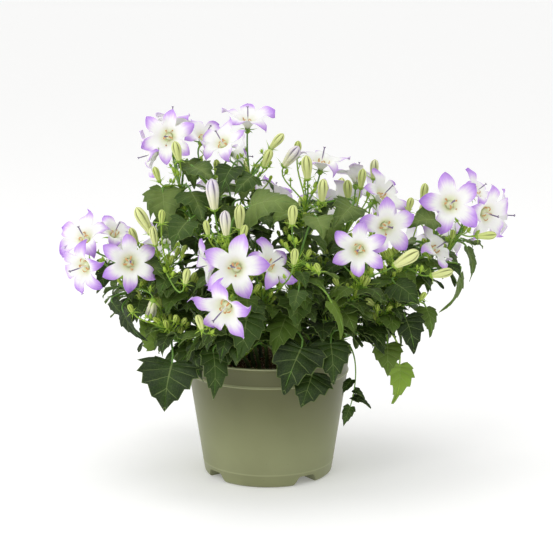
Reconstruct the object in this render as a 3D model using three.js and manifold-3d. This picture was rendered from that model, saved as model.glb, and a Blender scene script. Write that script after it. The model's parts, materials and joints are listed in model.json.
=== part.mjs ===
// A potted bellflower: a bushy campanula with white star-shaped blooms tipped in lilac, standing in the soil
// of a tapered plastic nursery pot. Millimetres, +Z up, the origin at the middle of the pot's underside.
// X runs to the right and Y away from someone who looks at the front.
import * as THREE from "three";
import { mergeVertices } from "three/addons/utils/BufferGeometryUtils.js";
import Module from "manifold-3d";

const wasm = await Module();
wasm.setup();

// Driving dimensions of the pot and its soil
const POT_HEIGHT = 105;
const RIM_RADIUS = 70;
const BASE_RADIUS = 54;
const POT_WALL = 1.6;
const BEAD_HEIGHT = 88;
const FLOOR = 2;
const CHANNEL_HEIGHT = 8;
const CHANNEL_TURN = 36;
const SOIL_TOP = 97;
const GAP = 0.3;

// Driving dimensions of the plant
const STEM_RADIUS = 1.5;
const PEDICEL_RADIUS = 0.75;
const STEM_DEPTH = 9;
const STEM_STEPS = 6;
const BLADE_THICK = 0.7;
const PETAL_THICK = 0.7;
const BLOOM_DRAW_SEED = 5;
const BUD_DRAW_SEED = 11;
const LEAF_DRAW_SEED = 29;

const vec = (x, y, z) => new THREE.Vector3(x, y, z);
const UP = vec(0, 0, 1);
const radians = THREE.MathUtils.degToRad;
const lerp = THREE.MathUtils.lerp;

// A seeded draw of numbers from 0 to 1, the same on every machine.
function drawFrom(seed) {
  const modulus = 2147483647;
  let state = (seed * 7919) % modulus;
  return () => {
    state = (state * 48271) % modulus;
    return state / modulus;
  };
}

// A direction from its compass angle (0 faces the front, 90 the right) and its lift above the horizon.
function facing(azimuth, lift) {
  const a = radians(azimuth);
  const e = radians(lift);
  return vec(Math.sin(a) * Math.cos(e), -Math.cos(a) * Math.cos(e), Math.sin(e));
}

// The plant as someone would list it, shoot by shoot. A shoot has the tip where its flowering head begins,
// blooms as [base, azimuth, lift, span, petals], buds as [base, azimuth, lift, length]
// and large leaves as [base of the blade, its tip, the way its upper face looks as azimuth and lift, width].
const SHOOTS = [
  {
    name: "left_low",
    tip: [-116, -28, 164],
    blooms: [
      [[-144, -40, 185], -38, -8, 50, 6],
      [[-112, -45, 187], 12, 12, 52, 6],
    ],
    buds: [[[-92, -52, 158], -160, -55, 21]],
    leaves: [
      [[-117, -42, 146], [-99, -52, 123], -60, 10, 17],
      [[-127, -33, 152], [-112, -40, 139], -70, 25, 14],
      [[-132, -12, 180], [-140, -26, 158], 20, 20, 20],
    ],
  },
  {
    name: "left_back",
    tip: [-120, 8, 176],
    blooms: [
      [[-149, -8, 197], -25, 46, 50, 5],
      [[-131, 18, 197], 40, 50, 40, 5],
    ],
    buds: [],
    leaves: [],
  },
  {
    name: "top_left",
    tip: [-74, 2, 246],
    blooms: [
      [[-80, -10, 285], -6, 6, 48, 6],
      [[-92, 22, 268], -75, -15, 44, 5],
      [[-80, 27, 286], 175, 72, 44, 5],
    ],
    buds: [
      [[-71, -32, 268], -40, 72, 17],
      [[-88, -22, 250], -60, 70, 13],
    ],
    leaves: [
      [[-86, -14, 240], [-82, -32, 212], 0, 30, 34],
      [[-62, -28, 242], [-52, -48, 222], 20, 35, 30],
    ],
  },
  {
    name: "top_left_mid",
    tip: [-48, 0, 247],
    blooms: [
      [[-55, 17, 278], 36, 48, 42, 5],
      [[-35, -14, 277], -30, 46, 44, 5],
    ],
    buds: [],
    leaves: [[[-60, -24, 262], [-42, -42, 250], 20, 40, 24]],
  },
  {
    name: "top_mid",
    tip: [-16, 14, 252],
    blooms: [
      [[-17, 17, 289], 10, 74, 46, 5],
      [[-31, 42, 264], 110, -10, 42, 5],
    ],
    buds: [
      [[2, -10, 275], 70, 48, 17],
      [[-3, -24, 262], 40, 62, 17],
    ],
    leaves: [
      [[-29, -28, 262], [-38, -46, 244], -10, 40, 24],
      [[-12, -32, 256], [-26, -52, 244], 10, 45, 22],
    ],
  },
  {
    name: "top_right",
    tip: [32, -10, 230],
    blooms: [[[43, -8, 258], 30, 74, 48, 5]],
    buds: [
      [[13, -12, 261], 70, 52, 21],
      [[32, -32, 253], -20, 80, 20],
      [[24, 8, 266], 20, 78, 14],
      [[43, -52, 238], 10, 72, 20],
    ],
    leaves: [[[68, -34, 232], [52, -56, 217], 0, 30, 30]],
  },
  {
    name: "right_back",
    tip: [66, 24, 200],
    blooms: [
      [[74, 32, 240], 165, 68, 44, 5],
      [[62, 44, 222], 150, 24, 42, 5],
    ],
    buds: [
      [[66, 0, 232], -10, 76, 17],
      [[76, -6, 242], 30, 78, 17],
      [[88, 20, 246], 20, 80, 17],
    ],
    leaves: [],
  },
  {
    name: "right_mid",
    tip: [86, -6, 200],
    blooms: [[[90, -4, 232], 50, 38, 46, 5]],
    buds: [[[113, -34, 227], 30, 68, 13]],
    leaves: [],
  },
  {
    name: "right_front",
    tip: [76, -66, 178],
    blooms: [
      [[72, -84, 206], -8, 4, 48, 6],
      [[92, -60, 220], 16, 4, 50, 5],
    ],
    buds: [[[99, -88, 193], 70, 34, 23]],
    leaves: [],
  },
  {
    name: "right_arm",
    tip: [138, -20, 207],
    blooms: [
      [[146, -32, 232], 6, 16, 52, 5],
      [[172, 30, 231], 60, 40, 40, 5],
    ],
    buds: [[[126, -14, 232], 20, 70, 17]],
    leaves: [[[134, -44, 222], [110, -52, 219], -10, 50, 26]],
  },
  {
    name: "right_tip",
    tip: [158, -6, 205],
    blooms: [
      [[174, -16, 224], 40, -6, 52, 5],
      [[186, 18, 216], 100, -4, 48, 5],
    ],
    buds: [[[168, -42, 208], 75, 8, 16]],
    leaves: [[[164, -10, 192], [168, -16, 166], 60, 20, 16]],
  },
  {
    name: "right_low",
    tip: [112, -32, 182],
    blooms: [[[130, -38, 194], 62, 32, 42, 5]],
    buds: [[[130, -62, 180], 80, 14, 18]],
    leaves: [
      [[157, -27, 174], [143, -33, 142], 70, 10, 17],
      [[102, -54, 172], [121, -70, 158], 0, 45, 28],
    ],
  },
  {
    name: "front_mid",
    tip: [-26, -84, 176],
    blooms: [
      [[-23, -112, 196], -8, 12, 54, 5],
      [[-40, -80, 194], -75, -14, 46, 5],
    ],
    buds: [],
    leaves: [[[-16, -96, 156], [-22, -110, 122], 10, 15, 32]],
  },
  {
    name: "front_right_bloom",
    tip: [-4, -70, 168],
    blooms: [[[-3, -86, 190], 56, 34, 48, 5]],
    buds: [[[20, -110, 198], 20, 74, 14]],
    leaves: [
      [[27, -80, 126], [12, -96, 92], -8, 22, 46],
      [[36, -76, 104], [27, -92, 80], -4, 14, 40],
    ],
  },
  {
    name: "front_low",
    tip: [-38, -92, 146],
    blooms: [[[-29, -122, 171], -30, -24, 56, 5]],
    buds: [[[-50, -122, 150], -30, 64, 14]],
    leaves: [
      [[-43, -87, 124], [-42, -96, 87], 22, 14, 26],
      [[-59, -72, 126], [-52, -88, 100], -30, 14, 18],
    ],
  },
  {
    name: "front_buds_left",
    tip: [-34, -66, 196],
    blooms: [],
    buds: [
      [[-42, -62, 233], -20, 78, 26],
      [[-32, -90, 217], -10, 78, 21],
      [[-22, -76, 220], 10, 80, 20],
      [[-20, -94, 213], 40, 70, 15],
      [[-46, -88, 217], -30, 74, 13],
    ],
    leaves: [
      [[-64, -52, 222], [-76, -72, 204], -15, 40, 30],
      [[-14, -62, 236], [24, -78, 241], -5, 52, 40],
    ],
  },
  {
    name: "left_buds",
    tip: [-88, -34, 186],
    blooms: [],
    buds: [
      [[-94, -42, 211], -60, 60, 25],
      [[-106, -30, 200], -60, 66, 15],
      [[-90, -48, 202], -20, 72, 17],
      [[-84, -62, 222], 10, 66, 13],
      [[-64, -96, 180], 30, 70, 14],
    ],
    leaves: [[[-102, -36, 188], [-82, -54, 176], 0, 50, 22]],
  },
  {
    name: "front_buds_right",
    tip: [24, -74, 196],
    blooms: [],
    buds: [
      [[19, -90, 226], 10, 70, 17],
      [[40, -98, 190], -40, 60, 9],
    ],
    leaves: [
      [[39, -70, 228], [43, -88, 216], 0, 45, 26],
      [[50, -90, 164], [60, -99, 138], 50, 20, 14],
      [[24, -94, 174], [20, -106, 159], -10, 25, 17],
    ],
  },
  {
    name: "right_skirt",
    tip: [106, -40, 152],
    blooms: [],
    buds: [[[122, -60, 160], 40, 50, 9]],
    leaves: [
      [[111, -50, 143], [118, -66, 118], 10, 24, 30],
      [[129, -36, 148], [133, -48, 127], 30, 20, 20],
      [[97, -46, 120], [97, -56, 96], 0, 22, 26],
      [[108, -36, 100], [104, -42, 68], 30, 10, 26],
      [[50, -74, 128], [52, -90, 98], 8, 22, 34],
    ],
  },
  {
    name: "left_skirt",
    tip: [-84, -52, 136],
    blooms: [],
    buds: [[[-108, -62, 150], -30, 55, 9]],
    leaves: [
      [[-76, -76, 112], [-82, -90, 76], -12, 24, 54],
      [[-90, -34, 118], [-106, -26, 136], -20, 30, 24],
    ],
  },
  {
    name: "back_left",
    tip: [-98, 70, 150],
    blooms: [
      [[-126, 80, 168], -115, 22, 50, 5],
      [[-92, 108, 174], -155, 26, 50, 6],
    ],
    buds: [
      [[-114, 52, 178], -90, 66, 18],
      [[-74, 84, 186], 180, 72, 20],
    ],
    leaves: [[[-84, 84, 124], [-96, 102, 92], -140, 22, 44]],
  },
  {
    name: "back_mid",
    tip: [-30, 92, 196],
    blooms: [
      [[-44, 122, 216], -170, 24, 52, 5],
      [[2, 112, 214], 160, 44, 48, 5],
    ],
    buds: [
      [[-22, 84, 232], 180, 80, 22],
      [[-10, 122, 200], 170, 50, 15],
    ],
    leaves: [
      [[-20, 86, 130], [-16, 104, 96], 180, 20, 46],
      [[-38, 60, 236], [-44, 82, 222], -170, 50, 36],
    ],
  },
  {
    name: "back_right",
    tip: [56, 88, 184],
    blooms: [
      [[48, 124, 202], 172, 10, 52, 6],
      [[92, 106, 212], 140, 26, 50, 5],
    ],
    buds: [
      [[62, 84, 218], 150, 76, 20],
      [[30, 96, 206], -170, 60, 14],
    ],
    leaves: [
      [[46, 82, 126], [52, 98, 94], 165, 20, 42],
      [[40, 56, 222], [52, 78, 210], 160, 50, 34],
    ],
  },
  {
    name: "back_far_right",
    tip: [118, 48, 166],
    blooms: [
      [[146, 56, 188], 112, 14, 50, 5],
      [[120, 88, 176], 135, -4, 50, 5],
    ],
    buds: [[[128, 40, 206], 100, 68, 21]],
    leaves: [[[90, 56, 124], [108, 66, 94], 120, 22, 40]],
  },
];

// Where the plant already stands: small balls along each stem and over each blade and petal, with their node.
const taken = [];

function take(balls, owner) {
  for (const ball of balls) {
    taken.push({ ...ball, owner });
  }
}

// Within one node a stalk may touch only what it grows from and what it carries.
const GROWN_TOGETHER = ["stalk stem", "stalk calyx"];
const OWN_EASE = 1.2;

// How far a point lies from the pot and the soil.
function roomFromPot(at) {
  const reach = Math.hypot(at.x, at.y);
  const outside = Math.max(reach - RIM_RADIUS, at.z - POT_HEIGHT);
  const inside = Math.min(RIM_RADIUS - 4 - reach, at.z - SOIL_TOP - 1.5);
  return Math.max(outside, inside);
}

// How far a row of balls keeps from the pot, the soil and all that other nodes have taken.
function roomFor(balls, owner) {
  let least = 50;
  for (const ball of balls) {
    least = Math.min(least, roomFromPot(ball.at) - ball.radius);
    for (const other of taken) {
      const own = other.owner === owner;
      if (!own || !GROWN_TOGETHER.includes(`${ball.kind} ${other.kind}`)) {
        const between = ball.at.distanceTo(other.at) - ball.radius - other.radius;
        least = Math.min(least, own ? between + OWN_EASE : between);
      }
    }
  }
  return least;
}

// The first of some choices that has enough room, or else the roomiest.
function pick(choices, owner, enough) {
  let best = null;
  for (const choice of choices) {
    const room = roomFor(choice.balls, owner);
    if (!best || room > best.room) {
      best = { ...choice, room };
    }
    if (room >= enough) {
      break;
    }
  }
  return best;
}

function ballsAlong(route, from, to, count, radius, kind) {
  const balls = [];
  for (let i = 0; i <= count; i += 1) {
    balls.push({ at: route.getPoint(lerp(from, to, i / count)), radius, kind });
  }
  return balls;
}

// The frame of a bloom, bud or leaf: where it looks, with an upward and a sideways direction square to that.
function frameOf(axis) {
  const reference = Math.abs(axis.z) > 0.94 ? vec(0, 1, 0) : UP;
  const upward = reference.clone().addScaledVector(axis, -reference.dot(axis)).normalize();
  return { axis, upward, sideways: upward.clone().cross(axis) };
}

// A point round an axis: how far out, at what angle from the upward direction, and how far along the axis.
function around(centre, frame, reach, angle, along) {
  return centre
    .clone()
    .addScaledVector(frame.upward, reach * Math.cos(angle))
    .addScaledVector(frame.sideways, reach * Math.sin(angle))
    .addScaledVector(frame.axis, along);
}

// A bloom's petals rise from its throat as a funnel and open into a star.
// Each ring gives how far out and how far forward it lies, as shares of half the bloom's span.
const THROAT = [0.09, 0];
const PETAL_MIDDLE = [0.4, 0.36];
const PETAL_NOTCH = [0.46, 0.46];
const PETAL_WIDEST = [0.7, 0.52];
const PETAL_TIP = [1, 0.46];
const PETAL_BREADTH = 0.68;

function bloomOf(entry, owner, draw) {
  const [base, azimuth, lift, span, petals] = entry;
  const frame = frameOf(facing(azimuth, lift));
  const size = span / 2;
  const turn = radians(lerp(-14, 14, draw()));
  const depth = lerp(0.85, 1.1, draw());
  const throat = vec(...base);
  const ring = ([reach, along], angle) => around(throat, frame, reach * size, angle, along * size * depth);
  return { owner, frame, size, turn, depth, throat, petals, ring, span };
}

function bloomBalls(bloom) {
  const balls = [{ at: bloom.throat, radius: 2.5 }];
  for (let i = 0; i < bloom.petals; i += 1) {
    const middle = bloom.turn + (i * 2 * Math.PI) / bloom.petals;
    const half = Math.PI / bloom.petals;
    balls.push({ at: bloom.ring([0.22, 0.18], middle), radius: 2.5 });
    balls.push({ at: bloom.ring([0.22, 0.2], middle + half), radius: 2.5 });
    balls.push({ at: bloom.ring(PETAL_MIDDLE, middle), radius: 2.5 });
    balls.push({ at: bloom.ring(PETAL_NOTCH, middle + half), radius: 2.5 });
    balls.push({ at: bloom.ring([0.6, 0.5], middle - 0.6 * half), radius: 2.5 });
    balls.push({ at: bloom.ring([0.6, 0.5], middle + 0.6 * half), radius: 2.5 });
    balls.push({ at: bloom.ring([0.68, 0.52], middle), radius: 2.5 });
    balls.push({ at: bloom.ring([0.8, 0.51], middle - 0.36 * half), radius: 2 });
    balls.push({ at: bloom.ring([0.8, 0.51], middle + 0.36 * half), radius: 2 });
    balls.push({ at: bloom.ring([0.93, 0.48], middle), radius: 2 });
  }
  return balls;
}

// The stems rise from a crown in the middle of the soil. Roots that stand too close are pushed apart.
const ROOT_SPACING = 9;

function crown() {
  const roots = SHOOTS.map(({ tip }) => vec(0.3 * tip[0], 0.4 * tip[1], SOIL_TOP - STEM_DEPTH));
  for (let round = 0; round < 300; round += 1) {
    for (let i = 0; i < roots.length; i += 1) {
      for (let j = 0; j < i; j += 1) {
        const apart = roots[i].clone().sub(roots[j]);
        const lack = ROOT_SPACING - apart.length();
        if (lack > 0) {
          apart.normalize();
          roots[i].addScaledVector(apart, lack / 2);
          roots[j].addScaledVector(apart, -lack / 2);
        }
      }
    }
  }
  return roots;
}

function stemRoute(root, tip, sway, lean) {
  const run = tip.clone().sub(root);
  const reach = run.length();
  const outward = vec(run.x, run.y, 0).normalize();
  const across = vec(-outward.y, outward.x, 0);
  const low = root.clone().addScaledVector(UP, 0.4 * reach).addScaledVector(outward, lean * reach);
  const high = tip.clone().addScaledVector(UP, -0.3 * reach).addScaledVector(outward, -0.1 * reach);
  low.addScaledVector(across, sway);
  high.addScaledVector(across, sway);
  return new THREE.CubicBezierCurve3(root, low, high, tip);
}

function growStem(root, tip, owner) {
  const choices = [];
  for (const lean of [0.08, 0.2, 0]) {
    for (const sway of [0, 7, -7, 14, -14, 21, -21, 28, -28]) {
      const route = stemRoute(root, tip, sway, lean);
      choices.push({ route, balls: ballsAlong(route, 0.12, 1, 26, STEM_RADIUS, "stem") });
    }
  }
  return pick(choices, owner, 2.2);
}

// A place on a stem, as a share of its length, and the way that the stem runs there.
function onStem(spine, share) {
  const place = Math.min(share, 0.999) * STEM_STEPS;
  const low = Math.floor(place);
  const [from, to] = [spine[low], spine[low + 1]];
  return { at: from.clone().lerp(to, place - low), along: to.clone().sub(from).normalize() };
}

// A stalk leaves the stem at a share of the stem's way and ends at a point, coming in along a direction.
function stalkRoute(spine, share, end, arrival) {
  const { at: start, along } = onStem(spine, share);
  const reach = start.distanceTo(end);
  const leave = along.lerp(end.clone().sub(start).normalize(), 0.6).normalize();
  const first = start.clone().addScaledVector(leave, 0.35 * reach);
  const second = end.clone().addScaledVector(arrival, -0.4 * reach);
  return new THREE.CubicBezierCurve3(start, first, second, end);
}

function growStalk(spine, shares, end, arrival, extra, owner) {
  const choices = shares.map((share) => {
    const route = stalkRoute(spine, share, end, arrival);
    const balls = [...ballsAlong(route, 0.12, 0.94, 12, PEDICEL_RADIUS + 0.3, "stalk"), ...extra];
    return { route, balls };
  });
  return pick(choices, owner, 1.2);
}

const HIGH_SHARES = [0.97, 0.91, 0.85, 0.99, 0.79, 0.73, 0.67, 0.61, 0.55, 0.49];

// A calyx is five narrow sepals round the ovary, behind the petals of a bloom or round the foot of a bud.
const CALYX_DEPTH = 6.2;
const SEPAL_REACH = 8.5;

function sepalBalls(centre, frame, reach, along) {
  const balls = [];
  for (let i = 0; i < 5; i += 1) {
    const angle = (i * 2 * Math.PI) / 5;
    balls.push({ at: around(centre, frame, reach, angle, along), radius: 0.8, kind: "calyx" });
    balls.push({ at: around(centre, frame, reach * 0.5, angle, along * 0.5), radius: 1, kind: "calyx" });
  }
  return balls;
}

function growBud(spine, entry, owner) {
  const [base, azimuth, lift, length] = entry;
  const frame = frameOf(facing(azimuth, lift));
  const foot = vec(...base);
  const reach = lerp(5, 8, Math.min(1, length / 20));
  const body = [0.25, 0.5, 0.75].map((share) => ({
    at: around(foot, frame, 0, 0, share * length),
    radius: 0.17 * length,
  }));
  const extra = [...body, ...sepalBalls(foot, frame, reach, 3)];
  const end = around(foot, frame, 0, 0, 1);
  const stalk = growStalk(spine, HIGH_SHARES, end, frame.axis, extra, owner);
  take(stalk.balls, owner);
  return { foot, frame, length, reach, stalk: stalk.route, room: stalk.room };
}

// A leaf lies between the base of its blade and its tip, arched along its length and folded along its midrib.
function leafOf(base, tip, face, width, fold) {
  const along = tip.clone().sub(base);
  const length = along.length();
  along.normalize();
  const side = face.clone().cross(along).normalize();
  const up = along.clone().cross(side);
  return { base, along, side, up, length, width, fold };
}

const LEAF_ARCH = 0.1;

function leafPoint(leaf, share, out) {
  const rise = LEAF_ARCH * leaf.length * Math.sin(Math.PI * share);
  const wing = leaf.fold * Math.abs(out) * leaf.width * 0.5;
  return leaf.base
    .clone()
    .addScaledVector(leaf.along, share * leaf.length)
    .addScaledVector(leaf.side, out * leaf.width * 0.5)
    .addScaledVector(leaf.up, rise + wing);
}

// How wide the blade is at a share of its length, from the heart-shaped base to the tip.
function leafBreadth(share) {
  return share < 0.25 ? lerp(0.6, 1, share / 0.25) : Math.pow((1 - share) / 0.75, 0.8);
}

function leafBalls(leaf) {
  const balls = [];
  const rows = Math.ceil(leaf.length / 6.5);
  for (let i = 0; i <= rows; i += 1) {
    const share = i / rows;
    const half = leafBreadth(share) * leaf.width * 0.5;
    const columns = Math.ceil(half / 6.5);
    for (let j = -columns; j <= columns; j += 1) {
      const out = columns ? (leafBreadth(share) * j) / columns : 0;
      balls.push({ at: leafPoint(leaf, share, out), radius: 2.2 });
    }
  }
  return balls;
}

const ALL_SHARES = [0.3, 0.36, 0.42, 0.48, 0.54, 0.6, 0.66, 0.72, 0.78, 0.84, 0.9, 0.95];
const LISTED_FOLDS = [0.18, -0.22, 0.05];

function growListedLeaf(spine, entry, fold, owner) {
  const [base, tip, azimuth, lift, width] = entry;
  const leaf = leafOf(vec(...base), vec(...tip), facing(azimuth, lift), width, fold);
  const lengthFrom = (share) => onStem(spine, share).at.distanceTo(leaf.base);
  const shares = ALL_SHARES.filter((share) => lengthFrom(share) > 12);
  shares.sort((a, b) => lengthFrom(a) - lengthFrom(b));
  const stalk = growStalk(spine, shares, leaf.base, leaf.along, leafBalls(leaf), owner);
  take(stalk.balls, owner);
  return { ...leaf, stalk: stalk.route, room: stalk.room };
}

// The other leaves follow each stem in a spiral, the lower ones larger and on longer stalks.
const LEAVES_PER_SHOOT = 2;
const SPIRAL = 137.5;
const LEAF_TRIES = 18;

function growSpiralLeaf(spine, number, draw, owner) {
  const share = lerp(0.3, 0.93, (number + 0.7 * draw()) / LEAVES_PER_SHOOT);
  const length = lerp(46, 20, share) * lerp(0.8, 1.15, draw());
  const width = length * lerp(0.7, 0.95, draw());
  const reach = lerp(30, 12, share) * lerp(0.8, 1.2, draw());
  const start = number * SPIRAL + 360 * draw();
  const fold = lerp(-0.25, 0.3, draw());
  const droop = lerp(25, 65, draw());
  const from = onStem(spine, share).at;
  const outward = THREE.MathUtils.radToDeg(Math.atan2(from.x, -from.y));
  for (let i = 0; i < LEAF_TRIES; i += 1) {
    const azimuth = outward + lerp(-1, 1, ((start + i * 71) % 360) / 360) * lerp(110, 180, share);
    const base = from.clone().addScaledVector(facing(azimuth, 30 - 6 * (i % 3)), reach);
    const along = facing(azimuth + 12 * ((i % 5) - 2), -droop + 10 * (i % 4));
    const tip = base.clone().addScaledVector(along, length);
    const leaf = leafOf(base, tip, facing(azimuth, 60), width, fold);
    const route = stalkRoute(spine, share, base, facing(azimuth, -10));
    const balls = [...ballsAlong(route, 0.15, 1, 8, PEDICEL_RADIUS + 0.3, "stalk"), ...leafBalls(leaf)];
    const room = roomFor(balls, owner);
    if (room >= 0.6) {
      take(balls, owner);
      return { ...leaf, stalk: route, room };
    }
  }
  return null;
}

// Small green buds stand round the head of each shoot.
const SMALL_BUDS_PER_SHOOT = 1;

function growSmallBud(spine, draw, owner) {
  const share = lerp(0.72, 0.98, draw());
  const azimuth = 360 * draw();
  const length = lerp(7, 11, draw());
  const reach = lerp(13, 24, draw());
  const from = onStem(spine, share).at;
  for (let i = 0; i < LEAF_TRIES; i += 1) {
    const axis = facing(azimuth + 67 * i, 62 - 9 * (i % 4));
    const frame = frameOf(axis);
    const foot = from.clone().addScaledVector(facing(azimuth + 67 * i, 45), reach);
    const balls = [
      { at: around(foot, frame, 0, 0, 0.5 * length), radius: 0.25 * length },
      ...sepalBalls(foot, frame, 6, 3),
    ];
    const route = stalkRoute(spine, share, around(foot, frame, 0, 0, 1), axis);
    balls.push(...ballsAlong(route, 0.15, 0.94, 6, PEDICEL_RADIUS + 0.3, "stalk"));
    const room = roomFor(balls, owner);
    if (room >= 0.5) {
      take(balls, owner);
      return { foot, frame, length, reach: 6, stalk: route, room };
    }
  }
  return null;
}

// The whole plant: blooms first, where they are seen, then stems, stalks, buds and leaves in the room left.
function growPlant() {
  const drawBlooms = drawFrom(BLOOM_DRAW_SEED);
  const drawBuds = drawFrom(BUD_DRAW_SEED);
  const drawLeaves = drawFrom(LEAF_DRAW_SEED);
  const roots = crown();
  const shoots = SHOOTS.map((shoot, i) => ({
    name: shoot.name,
    root: roots[i],
    blooms: shoot.blooms.map((entry, k) => bloomOf(entry, `bloom_${shoot.name}_${k + 1}`, drawBlooms)),
    buds: [],
    leaves: [],
  }));
  for (const shoot of shoots) {
    for (const bloom of shoot.blooms) {
      take(bloomBalls(bloom), bloom.owner);
      take(sepalBalls(bloom.throat, bloom.frame, SEPAL_REACH, -2.5), shoot.name);
    }
  }
  shoots.forEach((shoot, i) => {
    const stem = growStem(shoot.root, vec(...SHOOTS[i].tip), shoot.name);
    shoot.stem = stem.route;
    shoot.spine = stem.route.getSpacedPoints(STEM_STEPS);
    shoot.room = stem.room;
    take(stem.balls, shoot.name);
  });
  for (const shoot of shoots) {
    for (const bloom of shoot.blooms) {
      const end = around(bloom.throat, bloom.frame, 0, 0, 1.6 - CALYX_DEPTH);
      const stalk = growStalk(shoot.spine, HIGH_SHARES, end, bloom.frame.axis, [], shoot.name);
      take(stalk.balls, shoot.name);
      bloom.stalk = stalk.route;
      bloom.room = stalk.room;
    }
  }
  shoots.forEach((shoot, i) => {
    shoot.buds = SHOOTS[i].buds.map((entry) => growBud(shoot.spine, entry, shoot.name));
  });
  shoots.forEach((shoot, i) => {
    shoot.leaves = SHOOTS[i].leaves.map((entry, k) =>
      growListedLeaf(shoot.spine, entry, LISTED_FOLDS[k % LISTED_FOLDS.length], shoot.name),
    );
  });
  for (const shoot of shoots) {
    for (let k = 0; k < SMALL_BUDS_PER_SHOOT; k += 1) {
      const bud = growSmallBud(shoot.spine, drawBuds, shoot.name);
      if (bud) {
        shoot.buds.push(bud);
      }
    }
  }
  for (let k = 0; k < LEAVES_PER_SHOOT; k += 1) {
    for (const shoot of shoots) {
      const leaf = growSpiralLeaf(shoot.spine, k, drawLeaves, shoot.name);
      if (leaf) {
        shoot.leaves.push(leaf);
      }
    }
  }
  return shoots;
}

// Solids: a geometry's merged vertices as a closed solid, and a solid's largest body as a geometry.
function solidOf(geometry) {
  const bare = geometry.clone();
  bare.deleteAttribute("normal");
  bare.deleteAttribute("uv");
  const merged = mergeVertices(bare, 1e-4);
  const vertProperties = merged.getAttribute("position").array;
  const triVerts = new Uint32Array(merged.index.array);
  return new wasm.Manifold(new wasm.Mesh({ numProp: 3, vertProperties, triVerts }));
}

function geometryOf(solid) {
  const bodies = solid.decompose();
  bodies.sort((a, b) => b.volume() - a.volume());
  const mesh = bodies[0].getMesh();
  const geometry = new THREE.BufferGeometry();
  geometry.setAttribute("position", new THREE.BufferAttribute(mesh.vertProperties, 3));
  geometry.setIndex(new THREE.BufferAttribute(mesh.triVerts, 1));
  geometry.computeVertexNormals();
  return geometry;
}

function facesOf(points, faces) {
  const geometry = new THREE.BufferGeometry().setFromPoints(points);
  geometry.setIndex(faces.flat());
  return geometry;
}

function joined(geometries) {
  return geometries.map(solidOf).reduce((whole, piece) => whole.add(piece));
}

// A sheet of triangles made into a closed blade, split into triangles alike on both faces.
function thicken(points, faces, thickness) {
  const normals = points.map(() => vec(0, 0, 0));
  const edges = new Set();
  for (const [a, b, c] of faces) {
    const first = points[b].clone().sub(points[a]);
    const normal = first.cross(points[c].clone().sub(points[a])).normalize();
    [a, b, c].forEach((corner) => normals[corner].add(normal));
    [`${a} ${b}`, `${b} ${c}`, `${c} ${a}`].forEach((edge) => edges.add(edge));
  }
  const half = thickness / 2;
  const over = points.map((point, i) => point.clone().addScaledVector(normals[i].normalize(), half));
  const under = points.map((point, i) => point.clone().addScaledVector(normals[i], -half));
  const count = points.length;
  const closed = [];
  for (const [a, b, c] of faces) {
    closed.push([a, b, c], [count + c, count + b, count + a]);
  }
  for (const edge of edges) {
    const [start, end] = edge.split(" ").map(Number);
    if (!edges.has(`${end} ${start}`)) {
      closed.push([end, start, count + start], [end, count + start, count + end]);
    }
  }
  return facesOf([...over, ...under], closed);
}

function tube(route, radius, sides, steps) {
  const corners = [];
  for (let i = 0; i < sides; i += 1) {
    const angle = (i * 2 * Math.PI) / sides;
    corners.push(new THREE.Vector2(radius * Math.cos(angle), radius * Math.sin(angle)));
  }
  const section = new THREE.Shape(corners);
  return new THREE.ExtrudeGeometry(section, { steps, extrudePath: route, bevelEnabled: false });
}

// A bloom: the fused petals as one star-shaped funnel, with the style standing in its throat.
const STYLE_LENGTH = 16;
const STYLE_RADIUS = 0.9;
const STYLE_FOOT = -0.2;

function bloomGeometry(bloom) {
  const points = [];
  const faces = [];
  const half = Math.PI / bloom.petals;
  for (let i = 0; i < bloom.petals; i += 1) {
    const middle = bloom.turn + 2 * i * half;
    points.push(bloom.ring(THROAT, middle));
    points.push(bloom.ring(PETAL_MIDDLE, middle));
    points.push(bloom.ring(PETAL_NOTCH, middle + half));
    points.push(bloom.ring(PETAL_WIDEST, middle - PETAL_BREADTH * half));
    points.push(bloom.ring(PETAL_WIDEST, middle + PETAL_BREADTH * half));
    points.push(bloom.ring(PETAL_TIP, middle));
  }
  for (let i = 0; i < bloom.petals; i += 1) {
    const [throat, centre, notch, left, right, tip] = [0, 1, 2, 3, 4, 5].map((k) => 6 * i + k);
    const next = (6 * (i + 1)) % points.length;
    const before = (6 * (i + bloom.petals - 1) + 2) % points.length;
    faces.push([throat, notch, centre], [throat, next, notch], [next, next + 1, notch]);
    faces.push([before, centre, left], [centre, notch, right], [centre, right, tip], [centre, tip, left]);
    if (i > 0 && i < bloom.petals - 1) {
      faces.push([0, next, throat]);
    }
  }
  const petals = thicken(points, faces, PETAL_THICK);
  const length = STYLE_LENGTH * (bloom.span / 50);
  const style = new THREE.ConeGeometry(STYLE_RADIUS, length, 3).translate(0, length / 2 + STYLE_FOOT, 0);
  style.applyQuaternion(new THREE.Quaternion().setFromUnitVectors(vec(0, 1, 0), bloom.frame.axis));
  style.translate(bloom.throat.x, bloom.throat.y, bloom.throat.z);
  return geometryOf(joined([petals, style]));
}

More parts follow.
